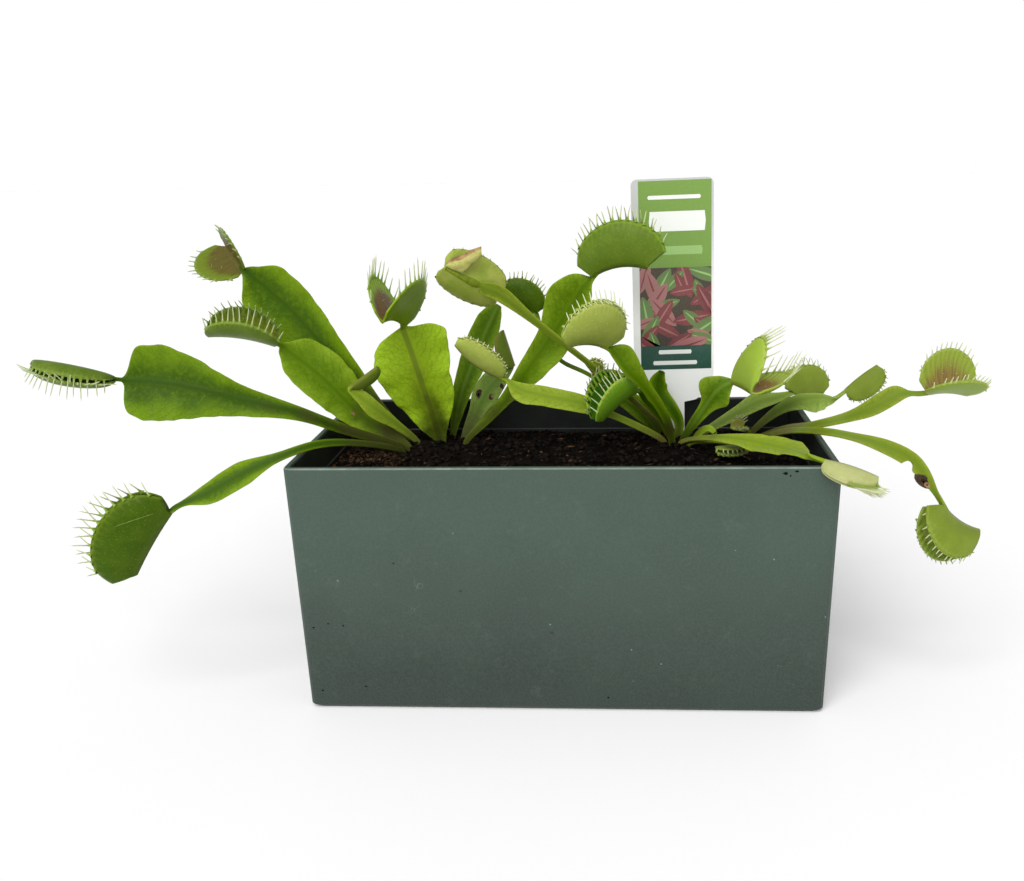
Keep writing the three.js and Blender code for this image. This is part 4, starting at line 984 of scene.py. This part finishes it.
def grow_lobes(build, trap):
    """Both lobes as one folded shell, lined inside, with a rounded rim."""
    stations, bands = 36, 12
    margin = 0.9
    rows = []
    for i in range(stations + 1):
        t = 0.5 - 0.5 * math.cos(math.pi * i / stations)
        inside, outside = [], []
        for j in range(-bands, bands + 1):
            v = (abs(j) / bands) ** 0.9
            side = -1 if j < 0 else 1
            point, _, outward = lobe_point(trap, t, v, side)
            away = (-trap["mouth"]).lerp(outward, smooth_step(v, 0.0, 0.16)).normalized()
            thick = 0.85 + 0.45 * math.exp(-(v / 0.12) ** 2)
            thick *= 1 - 0.5 * smooth_step(v, margin, 1.0)
            slack = 0.25 * smooth_step(v, margin, 1.0)
            inside.append(build.point(point + away * slack, (t, v)))
            outside.append(build.point(point + away * (slack + thick), (t, v)))
        rows.append((inside, outside))
    for (inside, outside), (next_inside, next_outside) in zip(rows, rows[1:]):
        build.strip(inside, next_inside, LINING, flip=True)
        build.strip(outside, next_outside, SKIN)
        build.strip([inside[0], outside[0]], [next_inside[0], next_outside[0]], SKIN)
        build.strip([inside[-1], outside[-1]], [next_inside[-1], next_outside[-1]], SKIN, flip=True)
    build.strip(rows[0][0], rows[0][1], SKIN)
    build.strip(rows[-1][0], rows[-1][1], SKIN, flip=True)


def grow_bristle(build, root, direction, bend, length, radii, web=None, rings=7, sides=6):
    """A slightly curved bristle with a broad root, widened along web, a thin shaft and a closed tip."""
    root_radius, tip_radius = radii
    sideways = (web - direction * web.dot(direction) if web else direction.orthogonal()).normalized()
    other = direction.cross(sideways)
    rows = []
    for k in range(rings):
        share = (k / rings) ** 1.3
        centre = root + direction * (length * share) + bend * (length * share * share)
        width = tip_radius * (1 - 0.35 * share) + (root_radius - tip_radius) * math.exp(-8 * share)
        breadth = width + (0.5 * math.exp(-11 * share) if web else 0)
        row = []
        for n in range(sides):
            angle = 2 * math.pi * n / sides
            at = centre + sideways * math.cos(angle) * breadth + other * math.sin(angle) * width
            row.append(build.point(at, (0.5, share)))
        rows.append(row)
    for row, next_row in zip(rows, rows[1:]):
        build.strip(row, next_row, TOOTH, closed=True)
    tip = build.point(root + direction * length + bend * length, (0.5, 1.0))
    for n in range(sides):
        build.face([rows[-1][n], rows[-1][(n + 1) % sides], tip], TOOTH)


# Radii at the root and the tip, and how deep a tooth's root sits in the rim
TOOTH_RADII, TOOTH_SINK = (0.62, 0.27), 0.7
# Trigger hairs inside a lobe, each at a place along the midrib and up the lobe
HAIR_RADII, HAIR_LENGTH = (0.13, 0.08), 1.7
HAIR_PLACES = ((0.36, 0.42), (0.5, 0.6), (0.64, 0.42))


def grow_teeth(build, trap, dice, comb):
    """Teeth along both rims, and three trigger hairs in each lobe of an open trap."""
    forward = trap["forward"]
    shut = 1 - smooth_step(trap["open"], 20, 60)
    first = trap.get("toothed_from", 0)
    for side in (-1, 1):
        for k in range(trap["teeth"]):
            t = first + (1 - first) * (k + 0.5 + 0.2 * side + dice.uniform(-0.15, 0.15)) / trap["teeth"]
            t = min(max(t, 0.02), 0.98)
            point, rise, outward = lobe_point(trap, t, 1, side)
            root = point + outward * 0.5 - rise * TOOTH_SINK
            direction = rise + forward * ((t - 0.5) * trap.get("spread", 0.8) + dice.uniform(-0.08, 0.08))
            direction += comb - outward * (trap.get("inward", 0.26) + dice.uniform(-0.08, 0.08))
            bend = outward * (-0.15 * shut + 0.05) + forward * dice.uniform(-0.08, 0.08)
            length = trap["tooth"] * (0.5 + 0.5 * math.sin(math.pi * t) ** 0.7) * dice.uniform(0.85, 1.08)
            direction = direction.normalized()
            grow_bristle(build, root, direction, bend, length + TOOTH_SINK, TOOTH_RADII, forward)
        if trap["open"] > 30 and trap["height"] > 10:
            for t, v in HAIR_PLACES:
                point, _, outward = lobe_point(trap, t, v, side)
                grow_bristle(
                    build, point, -outward, forward * 0.1, HAIR_LENGTH, HAIR_RADII, rings=3, sides=5
                )


def grow_scratch(build, trap, start, end, side):
    """A healed scratch: a thin pale ridge across the outside of a lobe, from one (t, v) to another."""
    rows = []
    steps = 12
    for i in range(steps + 1):
        share = i / steps
        t = start[0] + (end[0] - start[0]) * share
        v = start[1] + (end[1] - start[1]) * share
        point, rise, outward = lobe_point(trap, t, v, side)
        half = 0.13 * math.sin(math.pi * share) ** 0.4 + 0.02
        row = []
        for across, lift in ((-1, 0.8), (0, 0.95), (1, 0.8)):
            row.append(build.point(point + rise * half * across + outward * lift, (0.5, 0.15)))
        rows.append(row)
    for row, next_row in zip(rows, rows[1:]):
        build.strip(row, next_row, TOOTH, flip=True)


def grow_keel(build, trap, width):
    """The petiole carried on as a raised green keel along the outside of the midrib."""
    rows = []
    steps, sides = 18, 6
    for i in range(steps + 1):
        t = i / steps * 1.26 - 0.3
        swell = smooth_step(t, -0.3, 0.1)
        half = width * (1 - 0.6 * t) * swell
        row = []
        for k in range(sides + 1):
            angle = math.pi * k / sides
            drop = 0.7 + (0.4 * swell + 0.3 * half) * math.sin(angle)
            at = midrib_point(trap, t) - trap["mouth"] * drop + trap["sideways"] * half * math.cos(angle)
            row.append(build.point(at, (0.5, 0.8), (3, t * 20)))
        rows.append(row)
    for row, next_row in zip(rows, rows[1:]):
        build.strip(row, next_row, BLADE)
    build.face(rows[0], BLADE)
    build.face(rows[-1][::-1], BLADE)


def grow_fold(build, fold):
    """A withered margin folded over: a thin crumpled sheet between two rows of points."""
    near, far, thick = fold
    columns, rows_count = 14, 8
    front, back = [], []
    for i in range(rows_count + 1):
        front_row, back_row = [], []
        for j in range(columns + 1):
            place = j / columns * (len(near) - 1)
            a, b = Vector(along_knots(near, place)), Vector(along_knots(far, place))
            share = i / rows_count
            at = a.lerp(b, share)
            at.y -= 1.2 * math.sin(math.pi * share) + 0.5 * noise.noise(at / 2.5)
            front_row.append(build.point(at, (share, j / columns), (share * 8, j)))
            back_row.append(build.point(at + Vector((0, thick, 0)), (share, j / columns), (share * 8, j)))
        front.append(front_row)
        back.append(back_row)
    for k in range(rows_count):
        finish = DEAD if k > rows_count - 3 else FADING
        build.strip(front[k], front[k + 1], finish)
        build.strip(back[k], back[k + 1], finish, flip=True)
    build.strip(front[0], back[0], FADING, flip=True)
    build.strip(front[-1], back[-1], DEAD)
    build.strip([row[0] for row in front], [row[0] for row in back], DEAD)
    build.strip([row[-1] for row in front], [row[-1] for row in back], DEAD, flip=True)


def grow_leaf(name, leaf, seed):
    """One leaf with its trap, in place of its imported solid."""
    dice = random.Random(seed)
    build = Build()
    knots, runs = grow_blade(build, leaf, seed)
    grow_spots(build, leaf, knots, runs, seed)
    look = leaf.get("trap_look", "dry")
    if "trap" in leaf:
        trap = trap_of(leaf)
        grow_lobes(build, trap)
        grow_teeth(build, trap, dice, Vector(leaf.get("comb", (0, 0, 0))))
    if "scratch" in leaf:
        grow_scratch(build, trap, *leaf["scratch"])
    if "keel" in leaf:
        grow_keel(build, trap, leaf["keel"])
    if "fold" in leaf:
        grow_fold(build, leaf["fold"])
    teeth = PALE_TEETH if look in PALE_TOOTHED else TEETH
    finishes = [BLADES[leaf["blade"]], SKINS[look], LININGS[look], teeth, WITHERED, SPOT, FADED]
    piece = build.piece("dressed_" + name, finishes)
    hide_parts(name)
    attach(piece, "root")


# Peat

SOIL_HALF = (96.2, 48.2)
SOIL_EDGE = 83.2
SOIL_FLOOR = 3.4
SOIL_TAPER = (0.986, 0.972)
PEAT_STEPS = (240, 120)
# Where each plant stands, with the peat heaped round it
PLANTS = ((-58, 24), (47, 27), (80, 29))
HEAP_HEIGHT, HEAP_RADIUS = 2.2, 17
TROUGH_HEIGHT, TROUGH_FRONT, WALL_LEAN = 98, -52, 1.6


def peat_height(x, y):
    """Height of the peat's surface, level along the walls and heaped round each plant."""
    z = SOIL_EDGE - 0.4
    for plant_x, plant_y in PLANTS:
        z += HEAP_HEIGHT * math.exp(-((x - plant_x) ** 2 + (y - plant_y) ** 2) / HEAP_RADIUS ** 2)
    z += 1.2 * noise.noise(Vector((x / 9, y / 9, 3.1)))
    z += 1.0 * noise.noise(Vector((x / 3.4, y / 3.4, 7.7)))
    lump = noise.noise(Vector((x / 1.5, y / 1.5, 1.3)))
    return z + 0.7 * lump + 0.5 * max(lump, 0) ** 0.5


def fill_peat(material):
    """The peat filling with its lumpy surface."""
    build = Build()
    nx, ny = PEAT_STEPS
    rows = []
    for i in range(nx + 1):
        row = []
        for j in range(ny + 1):
            x = (i / nx * 2 - 1) * SOIL_HALF[0]
            y = (j / ny * 2 - 1) * SOIL_HALF[1]
            row.append(build.point((x, y, peat_height(x, y))))
        rows.append(row)
    for row, next_row in zip(rows, rows[1:]):
        build.strip(row, next_row, 0, flip=True)
    rim = [row[0] for row in rows] + rows[-1][1:]
    rim += [row[-1] for row in rows[-2::-1]] + rows[0][-2:0:-1]
    foot = []
    for k in rim:
        x, y, _ = build.points[k]
        foot.append(build.point((x * SOIL_TAPER[0], y * SOIL_TAPER[1], SOIL_FLOOR)))
    build.strip(rim, foot, 0, flip=True, closed=True)
    build.face(foot, 0)
    piece = build.piece("peat_filling", [material])
    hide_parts("soil")
    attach(piece, "root")


# A lump's corners and faces
LUMP_CORNERS = [(1, 0, 0), (-1, 0, 0), (0, 1, 0), (0, -1, 0), (0, 0, 1), (0, 0, -1)]
LUMP_FACES = [(0, 2, 4), (2, 1, 4), (1, 3, 4), (3, 0, 4), (2, 0, 5), (1, 2, 5), (3, 1, 5), (0, 3, 5)]
# Grains of peat stuck to the trough's front: x, z, size
STUCK_GRAINS = (
    (80.0, 95.9, 0.75), (81.6, 94.9, 0.4), (83.8, 96.6, 0.55), (-94.0, 34.6, 0.4), (-88.4, 36.3, 0.35),
    (-82.7, 35.5, 0.35), (-93.0, 7.7, 0.4), (-75.9, 9.7, 0.4), (17.1, 5.9, 0.4), (-61.6, 61.2, 0.35),
)


def add_lump(build, centre, shape, turn, dice):
    """A squashed and knocked-about octahedron."""
    start = []
    for corner in LUMP_CORNERS:
        at = Vector([c * s * dice.uniform(0.7, 1.3) for c, s in zip(corner, shape)])
        start.append(build.point(Vector(centre) + turn @ at))
    for triangle in LUMP_FACES:
        build.face([start[k] for k in triangle], 0)


def scatter_crumbs(name, material, count, sizes, seed, stretch=1.0, grains=()):
    """Loose lumps lying on the peat, and grains stuck to the trough."""
    dice = random.Random(seed)
    build = Build()
    for _ in range(count):
        x = dice.uniform(-1, 1) * (SOIL_HALF[0] - 2)
        y = dice.uniform(-1, 1) * (SOIL_HALF[1] - 2)
        size = sizes[0] + (sizes[1] - sizes[0]) * dice.random() ** 2
        spin = Matrix.Rotation(dice.uniform(0, 6.28), 3, "Z")
        turn = spin @ Matrix.Rotation(dice.uniform(-0.4, 0.4), 3, "X")
        shape = (stretch * size, size / stretch ** 0.5, 0.7 * size / stretch ** 0.5)
        add_lump(build, (x, y, peat_height(x, y) + size * 0.25), shape, turn, dice)
    for x, z, size in grains:
        y = TROUGH_FRONT + WALL_LEAN * (1 - z / TROUGH_HEIGHT)
        add_lump(build, (x, y, z), (size * 1.3, size * 0.6, size), Matrix.Identity(3), dice)
    piece = build.piece(name, [material])
    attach(piece, "root")


# Label

LABEL_X, LABEL_Y, LABEL_LEAN = 47.9, 43.5, -0.02
LABEL_HALF = 17.25
LABEL_TOP = 193.8
CORNER_RADIUS = 2.5
CARD_HALF, CARD_BEVEL = 0.4, 0.12
STAKE_FOOT, STAKE_POINT, STAKE_TOP = 52.0, 10, 98.0
STAKE_HALF, SHOULDER_RISE = 4.5, 12
# Material slots of the label
SHEET, GREEN, TEAL, DARK_LEAF, RED_LEAF, PINK_LEAF, MOSS_LEAF, PALE_GREEN, WHITE_BAR = range(9)
PRINT_LEFT, PRINT_RIGHT = -14.2, 16.3
PRINT_LOW, PRINT_HIGH = 112.8, 193
ART_LOW, ART_HIGH = 123.2, 157.0
# Printed panels across the whole print: low, high, forward, ink
PRINTED_PANELS = (
    (PRINT_LOW, PRINT_HIGH, 0.44, GREEN), (PRINT_LOW, ART_LOW, 0.47, TEAL),
    (ART_LOW, ART_HIGH, 0.47, DARK_LEAF),
)
# Printed bars: left, right, low, high, ink
PRINTED_BARS = (
    (-10, 11.5, 185.4, 187.0, WHITE_BAR), (-9.5, 13.5, 172.2, 180.4, WHITE_BAR),
    (-7.5, 12.2, 162.4, 166.0, PALE_GREEN), (-6.2, 7.4, 119.6, 121.4, WHITE_BAR),
    (-8.6, 9.8, 114.8, 116.6, WHITE_BAR),
)
BAR_FORWARD, BAR_END = 0.5, 0.4
LEAF_INKS = (RED_LEAF, MOSS_LEAF, PINK_LEAF, RED_LEAF, MOSS_LEAF)
RIB_INKS = {RED_LEAF: PINK_LEAF, MOSS_LEAF: PALE_GREEN, PINK_LEAF: RED_LEAF}
PRINTED_LEAVES, PRINT_SEED = 34, 5
LEAF_REACH = (5.5, 9)
# The printed leaves lie one over another in steps too thin to see
LEAF_FORWARD, LEAF_STEP, RIB_FORWARD = 0.49, 0.006, 0.493


def label_place(across, z, forward):
    """A point of the label: across and z on the card, forward out of its middle plane."""
    return (LABEL_X + across * math.cos(LABEL_LEAN) + z * math.sin(LABEL_LEAN),
            LABEL_Y - forward,
            z * math.cos(LABEL_LEAN) - across * math.sin(LABEL_LEAN))


def card_outline():
    """Half of the card's edge from the tip of the stake to its upper corner."""
    found = [(0.0, STAKE_FOOT), (STAKE_HALF, STAKE_FOOT + STAKE_POINT), (STAKE_HALF, STAKE_TOP)]
    turns = (0.4, 0.8, 1.2, 1.57)
    for a in turns:
        x = STAKE_HALF + (LABEL_HALF - STAKE_HALF) * math.sin(a)
        found.append((x, STAKE_TOP + SHOULDER_RISE * (1 - math.cos(a))))
    for a in (0.0, *turns):
        x = LABEL_HALF - CORNER_RADIUS * (1 - math.cos(a))
        found.append((x, LABEL_TOP - CORNER_RADIUS + CORNER_RADIUS * math.sin(a)))
    return found


def print_shape(build, outline, forward, ink):
    """A flat printed shape on the card's front."""
    build.face([build.point(label_place(x, z, forward)) for x, z in outline], ink)


def leaf_oval(centre_x, centre_z, half_length, half_width, turn):
    """A pointed oval turned by an angle and kept inside the leaf pattern's band."""
    found = []
    count = 24
    for k in range(count):
        a = 2 * math.pi * k / count
        along = half_length * math.cos(a)
        up = half_width * math.sin(a) * (1 - 0.5 * abs(math.cos(a)) ** 3)
        x = centre_x + along * math.cos(turn) - up * math.sin(turn)
        z = centre_z + along * math.sin(turn) + up * math.cos(turn)
        found.append((min(max(x, PRINT_LEFT), PRINT_RIGHT), min(max(z, ART_LOW), ART_HIGH)))
    return found


def make_label():
    """Printed plastic plant label on a white stake, with plain bars and a generic leaf pattern."""
    finishes = [
        printed_polystyrene("white_polystyrene_sheet", "#f3f4f2", "#f8f8f6", top="#bdbfbc"),
        printed_polystyrene("green_label_ink", "#62882a", "#72963a"),
        printed_polystyrene("teal_label_ink", "#1b4639", "#235042"),
        printed_polystyrene("dark_leaf_ink", "#33271f", "#453926"),
        printed_polystyrene("red_leaf_ink", "#66282a", "#823c3c"),
        printed_polystyrene("pink_leaf_ink", "#96585a", "#a6706c"),
        printed_polystyrene("moss_leaf_ink", "#506a32", "#648044"),
        printed_polystyrene("pale_green_ink", "#86ad5c", "#94ba6c"),
        printed_polystyrene("white_label_ink", "#e2e6e0", "#ecefe9"),
    ]
    build = Build()
    half = card_outline()
    outline = half + [(-x, z) for x, z in half[::-1][:-1]]
    rows = []
    for forward, inset in (
        (-CARD_HALF, CARD_BEVEL), (-CARD_HALF + CARD_BEVEL, 0), (CARD_HALF - CARD_BEVEL, 0),
        (CARD_HALF, CARD_BEVEL),
    ):
        shrink = 1 - inset / LABEL_HALF
        rows.append([build.point(label_place(x * shrink, z, forward)) for x, z in outline])
    for row, next_row in zip(rows, rows[1:]):
        build.strip(row, next_row, SHEET, closed=True)
    build.face(rows[0], SHEET)
    build.face(rows[-1], SHEET)
    for low, high, forward, ink in PRINTED_PANELS:
        corners = [(PRINT_LEFT, low), (PRINT_RIGHT, low), (PRINT_RIGHT, high), (PRINT_LEFT, high)]
        print_shape(build, corners, forward, ink)
    for left, right, low, high, ink in PRINTED_BARS:
        middle = (low + high) / 2
        bar = [(left, low), (right, low), (right + BAR_END, middle), (right, high), (left, high)]
        print_shape(build, [*bar, (left - BAR_END, middle)], BAR_FORWARD, ink)
    dice = random.Random(PRINT_SEED)
    for k in range(PRINTED_LEAVES):
        x = dice.uniform(PRINT_LEFT + 1, PRINT_RIGHT - 1)
        z = ART_HIGH - 2 - k / PRINTED_LEAVES * (ART_HIGH - ART_LOW)
        reach = dice.uniform(*LEAF_REACH)
        turn = dice.uniform(0.15, 1.35) + (math.pi / 2 if k % 2 else 0)
        ink = LEAF_INKS[k % len(LEAF_INKS)]
        blade = leaf_oval(x, z, reach, reach * 0.36, turn)
        print_shape(build, blade, LEAF_FORWARD + LEAF_STEP * k, ink)
        rib = leaf_oval(x, z, reach * 0.86, reach * 0.05, turn)
        print_shape(build, rib, RIB_FORWARD + LEAF_STEP * k, RIB_INKS[ink])
    piece = build.piece("plant_label", finishes)
    for polygon in piece.data.polygons:
        polygon.use_smooth = False
    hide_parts("label")
    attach(piece, "root")


# Stage and camera

FLOOR_LEFT, FLOOR_RIGHT, FLOOR_NEAR, FLOOR_FAR = -4000, 4000, -2500, 6000
SUN_STRENGTH, SUN_SPREAD = 2.6, 50
SUN_AIM = (0.2, 0.75, -0.8)
CAMERA_PLACE = (21.92, -392.03, 207.51)
CAMERA_YAW, CAMERA_PITCH, CAMERA_ROLL = 3.474, 16.249, -1.227
SENSOR_WIDTH, FOCAL_LENGTH, SIDE_SHIFT = 36, 35.5, -0.0479


def studio_world():
    """White at the horizon, dimmer overhead."""
    world = bpy.data.worlds.new("studio_white")
    world.use_nodes = True
    tree = world.node_tree
    add = functools.partial(add_node, tree)
    height = add("SeparateXYZ", {"Vector": add("TexCoord").outputs["Generated"]}).outputs[2]
    glow = add("MapRange", [height, 0.12, 0.4, 1.0, 0.42], **SOFT)
    tree.links.new(glow.outputs[0], tree.nodes["Background"].inputs["Strength"])
    tree.nodes["Background"].inputs["Color"].default_value = (1, 1, 1, 1)
    scene.world = world


def stage_and_camera():
    """Pale floor, soft light from high in front and the photograph's view."""
    corners = [(FLOOR_LEFT, FLOOR_NEAR, 0), (FLOOR_RIGHT, FLOOR_NEAR, 0), (FLOOR_RIGHT, FLOOR_FAR, 0),
               (FLOOR_LEFT, FLOOR_FAR, 0)]
    floor = new_piece("floor", corners, [([0, 1, 2, 3], 0)], [studio_floor()])
    studio_world()
    sun = bpy.data.lights.new("soft_overhead", "SUN")
    sun.energy, sun.angle = SUN_STRENGTH, math.radians(SUN_SPREAD)
    lamp = bpy.data.objects.new("soft_overhead", sun)
    lamp.rotation_euler = Vector(SUN_AIM).to_track_quat("-Z", "Y").to_euler()
    scene.collection.objects.link(lamp)
    yaw, pitch, roll = (math.radians(a) for a in (CAMERA_YAW, CAMERA_PITCH, CAMERA_ROLL))
    ahead = Vector((-math.sin(yaw) * math.cos(pitch), math.cos(yaw) * math.cos(pitch), -math.sin(pitch)))
    right = Vector((math.cos(yaw), math.sin(yaw), 0))
    up = right.cross(ahead)
    tilted_right = right * math.cos(roll) + up * math.sin(roll)
    tilted_up = up * math.cos(roll) - right * math.sin(roll)
    data = bpy.data.cameras.new("camera")
    data.sensor_width, data.lens, data.shift_x = SENSOR_WIDTH, FOCAL_LENGTH, SIDE_SHIFT
    data.clip_start = 10 * MM
    camera = bpy.data.objects.new("camera", data)
    place = Matrix.Translation([c * MM for c in CAMERA_PLACE])
    turn = Matrix((tilted_right, tilted_up, -ahead)).transposed()
    camera.matrix_world = place @ turn.to_4x4()
    scene.collection.objects.link(camera)
    scene.camera = camera
    scene.view_settings.view_transform = "Standard"


def dress_trough():
    """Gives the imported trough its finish."""
    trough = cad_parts["trough"]
    trough.data.materials.clear()
    trough.data.materials.append(moulded_polypropylene())


# Making the scene

stage_and_camera()
dress_trough()
fill_peat(damp_peat())
dark_crumbs = peat_crumb("dark_peat_crumbs", "#080605", "#221a15")
brown_chips = peat_crumb("brown_bark_chips", "#33241a", "#5f4630")
scatter_crumbs("peat_crumbs", dark_crumbs, 2600, (0.35, 2.1), 21, grains=STUCK_GRAINS)
scatter_crumbs("bark_chips", brown_chips, 80, (0.4, 1.6), 22, stretch=1.8)
grey_fibres = peat_crumb("grey_brown_peat_fibres", "#2c241e", "#4a4038")
scatter_crumbs("peat_fibres", grey_fibres, 420, (0.3, 0.75), 23, stretch=5.0)
make_label()
for number, (leaf_name, leaf_values) in enumerate(LEAVES.items()):
    grow_leaf(leaf_name, leaf_values, FIRST_SEED + number)
